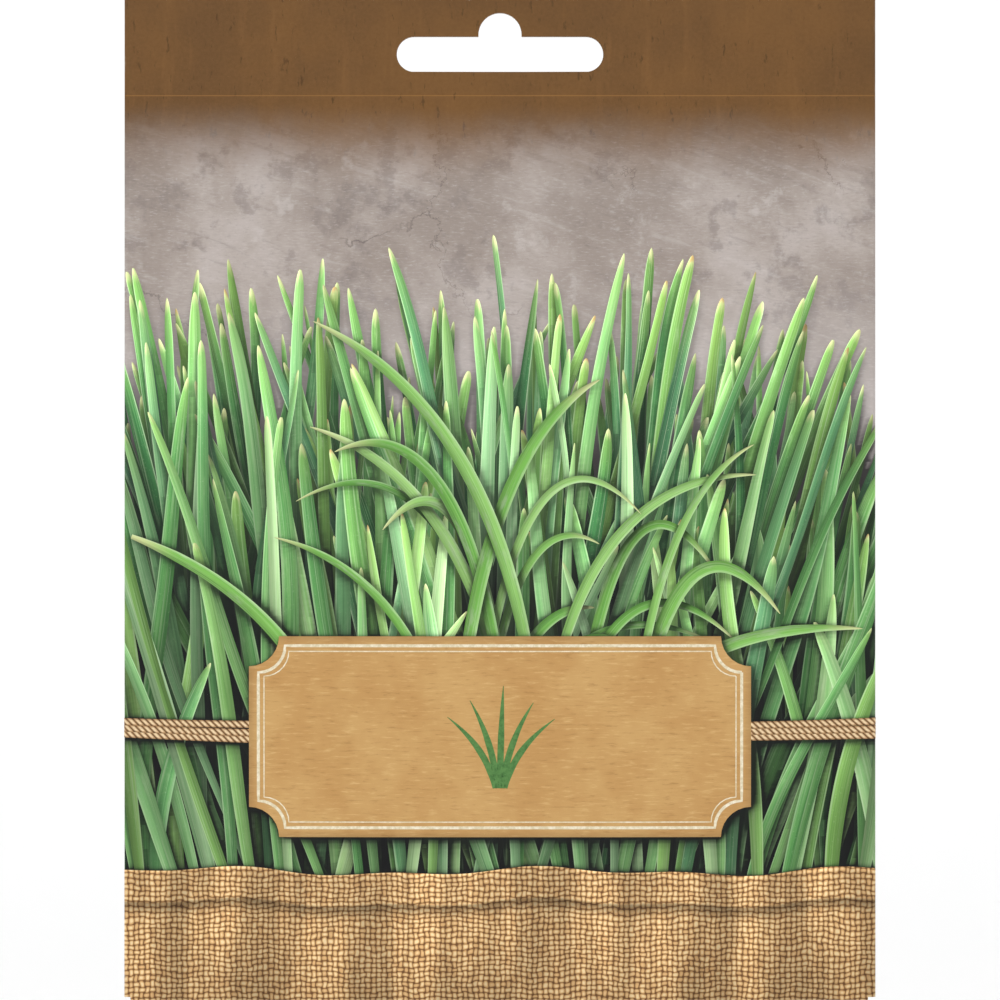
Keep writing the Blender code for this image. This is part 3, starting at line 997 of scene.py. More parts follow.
class Cover:
    """A fine chart of what lies on top at each place of the print, for the shade that it casts beside it."""

    def __init__(self, lines, rows, loose):
        self.low_x, self.low_z = PRINT_LEFT / MM - CHART_MARGIN, ROOT_LINE / MM - CHART_MARGIN
        wide = int((PRINT_RIGHT / MM + CHART_MARGIN - self.low_x) / CELL)
        high = int((TOP / MM + CHART_MARGIN - self.low_z) / CELL)
        self.top = np.full((high, wide), WALL)
        for row, a0, b0, a1, b1, owner in rows:
            first_z, first_x = self.cell((a0 + a1) / 2, lines[row])
            last_z, last_x = self.cell((b0 + b1) / 2, lines[row + 1])
            self.top[first_z : last_z + 1, first_x : last_x + 1] = owner
        z, x = np.mgrid[0:high, 0:wide].astype(float) * CELL
        x, z = x + self.low_x, z + self.low_z
        for number, (line, half, _, _) in enumerate(loose):
            for (place_x, place_z), reach in zip(line, half):
                row, column = self.cell(place_x, place_z)
                span = max(1, int(round(reach / CELL)))
                self.top[row - span : row + span + 1, column - span : column + span + 1] = loose_rank(number)
        self.top[in_label(x, z)] = COVER
        for wrap in range(TWINE_WRAPS):
            self.top[np.abs(z - twine_place(x, wrap)) < TWINE_HALF] = COVER
        self.top[z < burlap_edge(x)] = COVER

    def cell(self, x, z):
        """The chart's row and column at a place."""
        row = np.clip(np.asarray((z - self.low_z) / CELL, int), 0, self.top.shape[0] - 1)
        column = np.clip(np.asarray((x - self.low_x) / CELL, int), 0, self.top.shape[1] - 1)
        return row, column

    def light(self, x, z, rank):
        """How much light reaches a place from the upper left, past what lies in front of it."""
        shade = np.zeros(len(x))
        weights = 0.0
        for number, (radius, weight) in enumerate(SHADE_RINGS):
            for turn in steps(0, 2 * math.pi, SHADE_TURNS)[:-1] + 0.15 * number:
                away_x = radius * (math.cos(turn) + TOWARDS_LIGHT[0])
                away_z = radius * (math.sin(turn) + TOWARDS_LIGHT[1])
                top = self.top[self.cell(x + away_x, z + away_z)]
                shade += weight * (top > rank) * np.clip((top - rank) / FULL_SHADE_RANKS, 0.30, 1.0)
                weights += weight
        return np.clip(1 - SHADE_DEPTH * shade / weights, 0.0, 1.0)


def make_front_print(wall, chives, blades, lines, rows, cover):
    """The printed front: one flat layer of faces, each the wall's or a visible stretch of a blade's."""
    row, low_a, low_b, high_a, high_b, owner = (np.array(v) for v in zip(*rows))
    across = np.stack([low_a, low_b, high_b, high_a], axis=1)
    line = np.stack([row, row, row + 1, row + 1], axis=1)
    z = lines[line]
    points = on_front(across * MM, z * MM, PRINT_LIFT).reshape(-1, 3)
    printed = mesh_object("front_print", points, np.arange(len(points)).reshape(-1, 4), wall, chives)
    printed.data.polygons.foreach_set("material_index", (owner >= 0).astype(np.int32))

    blade = np.maximum(owner, 0)[:, None]
    _, _, middle, half = blades.at(lines)
    share = np.clip(blades.shares(lines), 0.0, 1.0)
    own_middle, own_half, own_share = middle[blade, line], half[blade, line], share[blade, line]
    side = blades.side[blade]
    over = np.clip((across - own_middle) / np.maximum(own_half, 0.02), -1.0, 1.0) * side
    turned = np.cos(blades.turn[blade] + blades.twist[blade] * own_share)
    face = np.where(blades.twist[blade] > 0, 0.86 + 0.22 * turned, 1.0)
    depth = np.where(owner >= 0, blades.depth[np.maximum(owner, 0)], 0.0)[:, None] + np.zeros((1, 4))
    light = cover.light(across.ravel(), z.ravel(), np.repeat(owner, 4))

    def full(values):
        return np.broadcast_to(values, across.shape)

    along = own_share * blades.length[blade]
    for name, values in (
        ("blade_place", (over, along, full(blades.seed[blade]))),
        ("blade_look", (full(blades.tone[blade]), own_share, light.reshape(-1, 4))),
        ("blade_kind", (full(blades.hue[blade]), depth, face)),
        ("print_light", (light, light, light)),
    ):
        give_vectors(printed.data, name, np.stack(values, axis=-1))
    fill_map(printed, across.ravel(), z.ravel())
    weld(printed)
    printed.data.shade_smooth()
    return dress(printed)


# The folded paper


PANEL_COLUMNS = 78
PANEL_ROWS = 84
FOLD_TURNS = 12


def strip_columns():
    """The sheet's upright columns in order: side flap, right fold, front panel, left fold, back panel."""
    turns = steps(0.0, math.pi, FOLD_TURNS)[1:-1]
    flap = [("back", x, FLAP_LAYER) for x in steps(SIDE_FLAP_EDGE, RIGHT_TANGENT, 8)]
    right = [("fold", RIGHT_TANGENT + PITCH * math.sin(a), BACK_LAYER + PITCH * math.cos(a)) for a in turns]
    front = [("front", x, FRONT_LAYER) for x in front_columns()]
    left = [("fold", LEFT_TANGENT - PITCH / 2 * math.sin(a), -PITCH / 2 * math.cos(a)) for a in turns]
    back = [("back", x, BACK_LAYER) for x in steps(LEFT_TANGENT, BACK_PANEL_EDGE, PANEL_COLUMNS)]
    return flap + right + front + left + back


def front_columns():
    inner = steps(RIGHT_TANGENT - FLAP_INSET, LEFT_TANGENT + FLAP_INSET, PANEL_COLUMNS)
    return [RIGHT_TANGENT, *inner, LEFT_TANGENT]


def strip_points(column, heights):
    side, x, y = column
    if side == "front":
        depth = front_y(x, heights, y)
    elif side == "back":
        depth = back_y(x, heights, y)
    else:
        depth = np.full(len(heights), y)
    return np.stack(np.broadcast_arrays(x, depth, heights), axis=-1)


def flap_layer(x):
    """The bottom flap lies on the back panel, and climbs one layer where it crosses the side flap."""
    climb = 2.5 * MM
    return FLAP_LAYER + PITCH * smooth((x - SIDE_FLAP_EDGE + climb + LAYER_GAP) / climb)


def flap_points(x, turn, rise, outside=0.0):
    """Points of the bottom flap: turn goes round the fold, then rise from 0 to 1 up the flap."""
    x = x * (1 - BOTTOM_FLAP_TAPER * rise)
    layer = flap_layer(x)
    if rise > 0:
        z = np.full(len(x), LOW_TANGENT + BOTTOM_FLAP_HEIGHT * rise)
        return np.stack([x, back_y(x, z, layer) + outside, z], axis=-1)
    middle = (FRONT_LAYER + layer) / 2
    reach = (layer - FRONT_LAYER) / 2 + outside
    z = np.full(len(x), LOW_TANGENT - (PITCH + outside) * math.sin(turn))
    return np.stack([x, middle - reach * math.cos(turn), z], axis=-1)


def slot_cutter(core):
    """The hang slot as a solid, to cut it through both layers of the header."""
    reach = 5 * MM
    mesh = bpy.data.meshes.new("slot_cutter")
    with mesh_edit(mesh) as bm:
        face = bm.faces.new([bm.verts.new((x, -reach, z)) for x, z in slot_outline()])
        pushed = bmesh.ops.extrude_face_region(bm, geom=[face])["geom"]
        corners = [item for item in pushed if isinstance(item, bmesh.types.BMVert)]
        bmesh.ops.translate(bm, verts=corners, vec=(0, 2 * reach, 0))
        bmesh.ops.recalc_face_normals(bm, faces=bm.faces)
    mesh.materials.append(core)
    return add_object("slot_cutter", mesh)


def make_envelope(paper, core):
    """The whole folded sheet as one closed paper solid, with its cut edges in the paper's bare core."""
    heights = LOW_TANGENT + (SEAL_LINE - LOW_TANGENT) * steps(0.0, 1.0, PANEL_ROWS) ** (1 / LOW_BELLY)
    heights = heights[heights < LINE_ROWS[0]]
    heights = np.concatenate([heights, LINE_ROWS, steps(LINE_ROWS[-1], TOP, 10)[1:]])
    columns = strip_columns()
    strip = np.stack([strip_points(c, heights) for c in columns], axis=1)
    x = np.array(front_columns()[1:-1])
    fold = [flap_points(x, turn, 0.0) for turn in steps(0.0, math.pi, FOLD_TURNS)]
    fold += [flap_points(x, math.pi, rise) for rise in steps(0.0, 1.0, 9)[1:]]
    flap = np.stack(fold, axis=0)
    points = np.concatenate([strip.reshape(-1, 3), flap.reshape(-1, 3)])
    faces = np.concatenate([
        grid_faces(len(heights), len(columns)),
        grid_faces(len(fold), len(x), start=strip.shape[0] * strip.shape[1]),
    ])
    envelope = mesh_object("paper_envelope", points, faces, paper, core)
    weld(envelope, 0.01 * MM)
    with mesh_edit(envelope.data) as bm:
        bmesh.ops.recalc_face_normals(bm, faces=bm.faces)
    solid = envelope.modifiers.new("paper thickness", "SOLIDIFY")
    solid.thickness = PAPER
    solid.offset = 0.0
    solid.use_even_offset = True
    solid.material_offset_rim = 1
    cutter = slot_cutter(core)
    cut = envelope.modifiers.new("hang slot", "BOOLEAN")
    cut.operation = "DIFFERENCE"
    cut.solver = "EXACT"
    cut.material_mode = "TRANSFER"
    cut.object = cutter
    plain_mesh(envelope)
    bpy.data.objects.remove(cutter)
    envelope.data.shade_smooth()
    envelope.data.set_sharp_from_angle(angle=math.radians(40))
    dress(envelope)
    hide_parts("envelope")
    return envelope


def make_envelope_paper():
    """The sheet's outer face where no picture is printed: off-white, with the brown run round its header."""
    made, n = new_material("envelope_paper")
    grain = group_node(n, PAPER_GRAIN, {"Fibre": 1.0, "Cloud": 0.6})
    rubbed = group_node(n, RUBBED_EDGES, {"Amount": 0.2})["Mask"]
    brown = group_node(n, HEADER_BROWN, {"Smudges": 0.6})["Colour"]
    place = n.millimetres()
    z = n.split(place)[2]
    paper = n.layered(INNER_PAPER, (n.noise(place, 0.05, 4.0, 0.6), 0.35, 0.65, 1.0, WHITE_PAPER))
    in_header = n.ease(n.minus(z, SEAL_LINE / MM), -0.06, 0.06)
    tint = n.mix(rubbed, n.mix(in_header, paper, brown), RUBBED_PAPER)
    finish_material(n, n.scaled(tint, grain["Tint"]), 0.50, grain["Height"], grain["Gloss"], 0.014, 0.2)
    return made


def make_paper_core():
    """The bare cut edge of the paper, white and fibrous."""
    made, n = new_material("paper_core")
    place = n.millimetres()
    fibre = n.noise(place, 14.0, 3.0, 0.7)
    finish_material(n, n.mix(fibre, *CORE_PAPER), 0.85, fibre, depth=0.03)
    return made


# The printed burlap at the foot


# The weave's pitch, and where its hem's fold lies below the upper edge, in mm
THREAD_PITCH = 0.86
HEM_TOP = 5.3


def make_burlap_print():
    """A plain weave of uneven jute threads, gathered in soft upright folds, with a turned hem at its top."""
    made, n = new_material("printed_burlap")
    flat, x, z = n.on_print()
    drift = n.minus(n.noise(flat, 0.12, 3.0, 0.55), 0.5)
    wander = n.minus(n.noise(n.vector("ADD", flat, (19.0, 0.0, 3.0)), 0.45, 2.0, 0.5), 0.5)
    warp = n.maths("DIVIDE", n.plus(x, n.times(wander, 0.9)), THREAD_PITCH)
    weft = n.maths("DIVIDE", n.plus(z, n.times(drift, 3.0)), THREAD_PITCH)
    warp_number, weft_number = n.maths("FLOOR", warp), n.maths("FLOOR", weft)
    warp_off = n.apart(n.maths("FRACT", warp), 0.5)
    weft_off = n.apart(n.maths("FRACT", weft), 0.5)
    weft_over = n.maths("PINGPONG", n.plus(warp_number, weft_number), 1.0)
    crown = n.ease(n.blend(weft_over, warp_off, weft_off), 0.06, 0.50, 1.0, 0.25)
    dip = n.ease(n.blend(weft_over, weft_off, warp_off), 0.12, 0.50, 1.0, 0.55)
    uneven = n.noise(n.join(warp_number, n.times(z, 0.12), weft_number), 0.9, 2.0)
    thread = n.times(crown, dip, n.ease(uneven, 0.25, 0.75, 0.72, 1.18))
    hair = n.noise(n.join(n.times(x, 3.0), 1.0, n.times(z, 3.0)), 1.4, 4.0, 0.7)
    jute = n.layered(
        JUTE_DARK,
        (thread, 0.16, 0.62, 1.00, JUTE),
        (thread, 0.62, 1.00, 1.00, JUTE_LIGHT),
        (hair, 0.60, 0.78, 0.35, JUTE_LIGHT),
        (hair, 0.36, 0.24, 0.30, JUTE_DARK),
    )

    folds = n.ease(n.noise(n.join(x, 0.0, n.times(z, 0.18)), 0.13, 3.0, 0.55), 0.34, 0.66, 0.66, 1.20)
    down = n.split(n.attribute("burlap_place"))[1]
    hem = n.times(n.ease(down, HEM_TOP - 0.6, HEM_TOP), n.ease(down, HEM_TOP + 2.3, HEM_TOP), 0.55)
    top_lip = n.ease(down, 0.0, 0.9, 1.25, 1.0)
    low_shade = n.ease(down, 9.0, 21.0, 1.0, 0.80)
    finish_print(n, n.scaled(jute, n.times(folds, n.minus(1.0, hem), top_lip, low_shade)))
    return made


def make_burlap(material):
    """The burlap's print, laid round the side folds and the bottom fold."""
    across = np.concatenate([
        steps(PRINT_LEFT, LEFT_TANGENT, 6)[:-1],
        steps(LEFT_TANGENT, RIGHT_TANGENT, 120),
        steps(RIGHT_TANGENT, PRINT_RIGHT, 8)[1:],
    ])
    edge = burlap_edge(across / MM) * MM
    shares = steps(0.0, 1.0, 24)
    z = LOW_TANGENT + (edge[None, :] - LOW_TANGENT) * shares[:, None]
    panel = on_front(across[None, :], z, BURLAP_LIFT)
    x = steps(LEFT_TANGENT + FLAP_INSET, RIGHT_TANGENT - FLAP_INSET, 118)
    turns = steps(0.92 * math.pi, 0.0, 10)
    fold = np.stack([flap_points(x, turn, 0.0, PAPER / 2 + BURLAP_LIFT) for turn in turns], axis=0)
    points = np.concatenate([panel.reshape(-1, 3), fold.reshape(-1, 3)])
    faces = np.concatenate([
        grid_faces(len(shares), len(across)),
        grid_faces(len(turns), len(x), start=panel.shape[0] * panel.shape[1]),
    ])
    made = mesh_object("burlap_print", points, faces, material)
    unfolded = np.concatenate([np.broadcast_to(across, z.shape).ravel(), np.tile(x, len(turns))])
    under = LOW_TANGENT - PITCH * turns
    height = np.concatenate([z.ravel(), np.repeat(under, len(x))])
    down = np.concatenate([(edge[None, :] - z).ravel(), np.repeat(BURLAP_EDGE - under, len(x))])
    place = np.stack([unfolded, down, height], axis=-1) / MM
    give_vectors(made.data, "burlap_place", place, domain="POINT")
    fill_map(made, at_corners(made, unfolded), at_corners(made, height))
    made.data.shade_smooth()
    return dress(made)


# Ribbons of print that follow a path over the paper


CLEAR_OF_PACKET = 50 * MM


def on_paper(n, paper, side, lift):
    """Each point's place, moved in depth alone, to lie on the paper's front or back face."""
    paper = n.add("GeometryNodeObjectInfo", {"Object": paper}).outputs["Geometry"]
    x, _, z = n.split(n.add("GeometryNodeInputPosition").outputs[0])
    far = n.times(side, CLEAR_OF_PACKET)
    ray = n.add("GeometryNodeRaycast", {"Target Geometry": paper, "Source Position": n.join(x, far, z)})
    n.feed(ray.inputs["Ray Direction"], n.join(0.0, n.times(side, -1.0), 0.0))
    ray.inputs["Ray Length"].default_value = 2 * CLEAR_OF_PACKET
    hit = n.split(ray.outputs["Hit Position"])[1]
    return n.join(x, n.plus(hit, n.times(lift, side)), z)


def make_ribbon_tree():
    """A flat ribbon along each path, as wide as its points say, laid on the paper's face."""
    takes = {
        "Paths": ("Geometry",),
        "Paper": ("Object",),
        "Unit": ("Float", MM),
        "Side": ("Float", -1.0),
        "Material": ("Material",),
    }
    tree, n, taken, given = new_group("ribbon on paper", takes, {"Ribbons": "Geometry"}, "GeometryNodeTree")
    curve = n.add("GeometryNodeMeshToCurve", {"Mesh": taken["Paths"]}).outputs[0]
    curve = n.add("GeometryNodeSetCurveNormal", {"Curve": curve}, mode="FREE")
    curve.inputs["Normal"].default_value = (0.0, 1.0, 0.0)
    along = n.add("GeometryNodeSplineParameter").outputs["Length"]
    marked = n.add("GeometryNodeStoreNamedAttribute", {"Geometry": curve.outputs[0], "Name": "along"})
    n.feed(marked.inputs["Value"], along)
    profile = n.add("GeometryNodeCurvePrimitiveLine", {"Start": (0.0, -1.0, 0.0), "End": (0.0, 1.0, 0.0)})
    profile = n.add("GeometryNodeResampleCurve", {"Curve": profile.outputs[0], "Count": 5}).outputs[0]
    edge = n.split(n.add("GeometryNodeInputPosition").outputs[0])[1]
    profile = n.add("GeometryNodeStoreNamedAttribute", {"Geometry": profile, "Name": "across", "Value": edge})
    half = n.add("GeometryNodeInputNamedAttribute", {"Name": "half_width"}, data_type="FLOAT").outputs[0]
    width = n.times(half, taken["Unit"])
    swept = n.add(
        "GeometryNodeCurveToMesh",
        {"Curve": marked.outputs[0], "Profile Curve": profile.outputs[0], "Scale": width},
    ).outputs[0]
    lift = n.add("GeometryNodeInputNamedAttribute", {"Name": "lift"}, data_type="FLOAT").outputs[0]
    laid = on_paper(n, taken["Paper"], taken["Side"], lift)
    placed = n.add("GeometryNodeSetPosition", {"Geometry": swept, "Position": laid})
    realized = n.add("GeometryNodeRealizeInstances", {"Geometry": placed.outputs[0]})
    dressed = n.add("GeometryNodeSetMaterial", {"Geometry": realized.outputs[0]})
    n.feed(dressed.inputs["Material"], taken["Material"])
    n.feed(given[0], dressed.outputs[0])
    return tree


RIBBON_TREE = make_ribbon_tree()


def set_inputs(modifier, **values):
    """Sets a geometry tree's named inputs on its modifier."""
    for item in modifier.node_group.interface.items_tree:
        if item.item_type == "SOCKET" and item.in_out == "INPUT" and item.name in values:
            modifier[item.identifier] = values[item.name]


def make_loose_blades(paths, cover, paper):
    made = make_ribbons("arching_blades", paths, make_arching_print(), paper)
    x, _, z = point_places(made.data) / MM
    light = cover.light(x, z, loose_rank(point_values(made.data, "number")))
    give_numbers(made.data, "light", light)


def make_ribbons(name, paths, material, paper, side=-1.0):
    """Ribbons along paths. A path is its points (x, z) and half widths in mm, its lift and its seed."""
    points, edges, halves, lifts, seeds, numbers = [], [], [], [], [], []
    for number, (line, half, lift, seed) in enumerate(paths):
        start = len(points)
        points += [(x * MM, 0.0, z * MM) for x, z in line]
        edges += [(start + i, start + i + 1) for i in range(len(line) - 1)]
        halves += list(np.broadcast_to(half, len(line)))
        lifts += [lift] * len(line)
        seeds += [seed] * len(line)
        numbers += [number] * len(line)
    mesh = bpy.data.meshes.new(name)
    mesh.from_pydata(points, edges, [])
    for label, values in (("half_width", halves), ("lift", lifts), ("seed", seeds), ("number", numbers)):
        give_numbers(mesh, label, values)
    made = add_object(name, mesh)
    tree = made.modifiers.new("ribbons", "NODES")
    tree.node_group = RIBBON_TREE
    set_inputs(tree, Paper=paper, Unit=MM, Side=side, Material=material)
    plain_mesh(made)
    face_outwards(made, side)
    map_ribbons(made, len(paths))
    made.data.shade_smooth()
    return dress(made)


def map_ribbons(obj, count):
    """Gives every ribbon a strip of the map, and each of its points its share of the ribbon's length."""
    mesh = obj.data
    along, across = point_values(mesh, "along"), point_values(mesh, "across")
    number = np.rint(point_values(mesh, "number")).astype(int)
    longest = np.zeros(count)
    np.maximum.at(longest, number, along)
    share = along / longest[number]
    give_numbers(mesh, "share", share)
    strip = (number + 0.5 + 0.42 * across) / count
    place = at_corners(obj, np.stack([0.004 + 0.992 * share, strip], axis=-1))
    mesh.uv_layers.new(name="OFBake").data.foreach_set("uv", place.astype(np.float32).ravel())


def face_outwards(obj, side):
    """Turns every face to the packet's front, where side is -1, or to its back."""
    with mesh_edit(obj.data) as bm:
        bm.normal_update()
        turned = [face for face in bm.faces if face.normal.y * side < 0]
        bmesh.ops.reverse_faces(bm, faces=turned)


def make_arching_print():
    """The loose blades in front, a livelier green, paler along their lit edge and yellow at their ends."""
    made, n = new_material("printed_arching_blades")
    across, seed = n.number("across"), n.number("seed")
    share, light = n.number("share"), n.number("light")
    along = n.maths("DIVIDE", n.number("along"), MM)
    veins = group_node(n, LEAF_VEINS, {"Across": across, "Along": along, "Seed": seed})
    streak, bloom = veins["Streak"], veins["Bloom"]
    tone = n.plus(n.maths("FRACT", n.times(seed, 0.37)), n.times(veins["Vein"], 0.7))
    leaf = n.layered(
        n.ramp(n.times(tone, 0.60), LOOSE_RAMP),
        (bloom, 0.50, 0.74, 0.50, LEAF_PALE),
        (streak, 0.52, 0.78, 0.34, LEAF_PALE),
        (streak, 0.46, 0.26, 0.36, LEAF_VEIN),
        (share, 0.86, 1.0, 0.75, LEAF_TIP),
        (across, -0.45, -0.95, 0.38, LEAF_PALE),
    )
    side = n.plus(across, n.times(n.minus(bloom, 0.5), 1.6))
    lit = n.times(n.ease(side, -0.5, 1.0, 1.08, 0.66), n.ease(share, 0.0, 0.35, 0.62, 1.0))
    finish_print(n, n.layered(n.scaled(leaf, lit), (light, 1.0, 0.25, 0.85, SHADOW)))
    return made


def make_twine_print():
    """Twisted jute: light strands that run aslant across the cord, with dark furrows between them."""
    made, n = new_material("printed_twine")
    across, wrap = n.number("across"), n.number("seed")
    along = n.maths("DIVIDE", n.number("along"), MM)
    turn = n.plus(n.plus(n.times(along, 0.95), n.times(across, 0.55)), n.times(wrap, 0.37))
    strand = n.apart(n.maths("FRACT", turn), 0.5)
    fibre = n.noise(n.join(n.times(turn, 3.0), across, 0.0), 2.0, 3.0, 0.7)
    crown = n.times(
        n.ease(strand, 0.08, 0.50, 1.0, 0.12),
        n.ease(n.maths("ABSOLUTE", across), 0.35, 1.0, 1.0, 0.45),
        n.ease(fibre, 0.3, 0.7, 0.75, 1.15),
    )
    twine = n.layered(TWINE_DARK, (crown, 0.05, 0.5, 1.0, TWINE), (crown, 0.5, 1.0, 1.0, TWINE_LIGHT))
    finish_print(n, twine)
    return made


LOOSE_COUNT = 19
LOOSE_POINTS = 110


def arching_paths():
    """Loose blades that rise from the bunch and bend over outwards on both sides, in mm."""
    draw = np.random.default_rng(88)
    behind_label = (LABEL_MIDDLE - LABEL_SIZE[1] / 2) / MM + 4.0
    paths = []
    for i in range(LOOSE_COUNT):
        side = -1 if i % 3 == 0 else 1
        start_x = side * draw.uniform(-8, 24)
        start_z = max(behind_label, ROOT_LINE / MM + draw.uniform(4, 30))
        rise = draw.uniform(34, 84)
        reach = side * draw.uniform(16, 42)
        nod = draw.uniform(0.05, 0.50)
        t = steps(0.0, 1.0, LOOSE_POINTS)
        x = start_x + reach * (0.30 * t + 0.70 * t**2.2)
        z = start_z + rise * (1.25 * t - 0.30 * t**2 - nod * t**3.4)
        widest = draw.uniform(0.62, 1.15)
        pointed = np.sqrt(np.clip((1 - t) / 0.16, 0.004, 1.0))
        half = widest * (0.55 + 0.45 * np.sin(math.pi * t**0.8)) * pointed
        keep = np.abs(x) < HALF_WIDTH / MM - 1.0
        paths.append((list(zip(x[keep], z[keep])), half[keep], ARCHING_LIFT + 0.002 * MM * i, 3.1 * i))
    return paths


def twine_paths():
    """Three wraps of twine across the whole unfolded front, in mm."""
    left, right = LEFT_TANGENT / MM, RIGHT_TANGENT / MM
    x = np.concatenate([
        steps(PRINT_LEFT / MM, left, 8)[:-1],
        steps(left, right, 150),
        steps(right, PRINT_RIGHT / MM, 12)[1:],
    ])
    lines = [list(zip(x, twine_place(x, wrap))) for wrap in range(TWINE_WRAPS)]
    return [(line, TWINE_HALF, TWINE_LIFT + 0.002 * MM * wrap, wrap) for wrap, line in enumerate(lines)]


def wrap_folds(obj):
    """Moves a ribbon's points from the unfolded front to the folded one, so that it goes round the folds."""
    mesh = obj.data
    across, _, z = point_places(mesh)
    folded = on_front(across, z, point_values(mesh, "lift"))
    mesh.vertices.foreach_set("co", folded.astype(np.float32).ravel())


# The blank kraft label


def label_outline(inset=0.0, points=7):
    """The label's outline with its corners scooped out, in mm."""
    half_x = LABEL_SIZE[0] / 2 / MM - inset
    half_z = LABEL_SIZE[1] / 2 / MM - inset
    scoop = LABEL_CORNER / MM - inset * 0.35
    middle = LABEL_MIDDLE / MM
    outline = []
    for sign_x, sign_z, first in ((1, 1, -90), (-1, 1, 0), (-1, -1, 90), (1, -1, 180)):
        outline += arc(sign_x * half_x, middle + sign_z * half_z, scoop, first, first - 90, points)
    return outline


def dense(points, spacing=1.5):
    """The same line with points added wherever two are further apart than the spacing."""
    made = [points[0]]
    for (x0, z0), (x1, z1) in zip(points, points[1:]):
        count = max(1, math.ceil(math.hypot(x1 - x0, z1 - z0) / spacing))
        made += list(zip(steps(x0, x1, count)[1:], steps(z0, z1, count)[1:]))
    return made


def closed(points):
    return [*points, points[0]]


def flat_shape(outline, spacing):
    """Points and faces that fill an outline, with inner points so that it can follow the paper."""
    outline = dense(closed(outline), spacing)[:-1]
    low, high = np.min(outline, axis=0), np.max(outline, axis=0)
    inner = [
        Vector((x, z))
        for x in np.arange(low[0] + spacing / 2, high[0], spacing)
        for z in np.arange(low[1] + spacing / 2, high[1], spacing)
    ]
    ring = [Vector(p) for p in outline]
    places, _, faces, _, _, _ = delaunay_2d_cdt(ring + inner, [], [list(range(len(ring)))], 1, 1e-5)
    return [tuple(p) for p in places], faces


def make_patch(name, outline, material, lift, spacing=1.5, side=-1):
    """A printed patch inside an outline in mm, with inner points so that it follows the paper. Its outline
    has x to the right as seen on its own side."""
    flat, faces = flat_shape(outline, spacing)
    flat = np.array(flat) * (-side, 1)
    x, z = flat[:, 0] * MM, flat[:, 1] * MM
    if side < 0:
        points = on_front(x, z, lift)
    else:
        points = np.stack([x, back_y(x, z, back_top(x)) + PAPER / 2 + lift, z], axis=-1)
    made = mesh_object(name, points, faces, material)
    fill_map(made, at_corners(made, x), at_corners(made, z))
    face_outwards(made, side)
    made.data.shade_smooth()
    return dress(made)


def back_top(x):
    """The outermost layer of the paper across the back, in the middle of its thickness."""
    return np.where(x > SIDE_FLAP_EDGE, FLAP_LAYER, BACK_LAYER)


def make_kraft_print():
    """Kraft paper: warm brown with lighter and darker fibres and a slight shade round its edge."""
    made, n = new_material("printed_kraft")
    flat, x, z = n.on_print()
    fibre = n.noise(n.join(n.times(x, 0.35), 0.0, n.times(z, 2.4)), 0.9, 5.0, 0.65)
    fleck = n.noise(flat, 2.6, 4.0, 0.7)
    kraft = n.layered(
        KRAFT_CLOUD,
        (n.noise(flat, 0.09, 3.0, 0.6), 0.35, 0.65, 1.0, KRAFT),
        (fibre, 0.52, 0.72, 0.60, KRAFT_LIGHT),
        (fibre, 0.46, 0.30, 0.50, KRAFT_DARK),
        (fleck, 0.64, 0.78, 0.50, KRAFT_FLECK),
        (fleck, 0.34, 0.24, 0.45, KRAFT_SPOT),
    )
    off_x = n.minus(LABEL_SIZE[0] / 2 / MM, n.maths("ABSOLUTE", x))
    off_z = n.minus(LABEL_SIZE[1] / 2 / MM, n.apart(z, LABEL_MIDDLE / MM))
    finish_print(n, n.scaled(kraft, n.ease(n.maths("MINIMUM", off_x, off_z), 0.0, 1.6, 0.80, 1.0)))
    return made


def make_ink(name, code, dark):
    """A flat ink that lets the paper's fibres show."""
    made, n = new_material(name)
    place = n.millimetres()
    worn = n.noise(place, 1.3, 4.0, 0.7)
    finish_print(n, n.mix(n.ease(worn, 0.35, 0.70), dark, code))
    return made


SPRIG_LEANS = (-0.62, -0.30, 0.03, 0.34, 0.66)


def sprig_paths():
    """A small sprig of five blades, in mm."""
    foot = LABEL_MIDDLE / MM - 8.2
    paths = []
    for i, lean in enumerate(SPRIG_LEANS):
        t = steps(0.0, 1.0, 22)
        length = 16.6 - 7.0 * abs(lean)
        x = lean * length * (0.35 * t + 0.75 * t**2) + 0.45 * (i - 2) * (1 - t)
        z = foot + length * (t - 0.12 * abs(lean) * t**2)
        half = 0.52 * np.minimum(1.0, 0.55 + 2 * t) * np.clip((1 - t) / 0.5, 0.04, 1.0) ** 0.7
        paths.append((list(zip(x, z)), half, INK_LIFT, i))
    for z in (foot + 1.5, foot + 2.3):
        paths.append(([(-1.5, z + 0.2), (0.0, z), (1.5, z + 0.2)], 0.20, INK_LIFT + 0.004 * MM, 9))
    return paths


# Each border line's distance from the label's edge, its half width and its seed, in mm
LABEL_BORDERS = ((1.5, 0.24, 0), (2.4, 0.09, 1))


def make_label(paper):
    kraft = make_kraft_print()
    cream = make_ink("cream_ink", *CREAM_INK)
    green = make_ink("green_ink", *GREEN_INK)
    make_patch("kraft_label", label_outline(), kraft, LABEL_LIFT)
    borders = [(dense(closed(label_outline(i))), half, INK_LIFT, seed) for i, half, seed in LABEL_BORDERS]
    make_ribbons("label_border", borders, cream, paper)
    make_ribbons("label_sprig", sprig_paths(), green, paper)


# The printed back


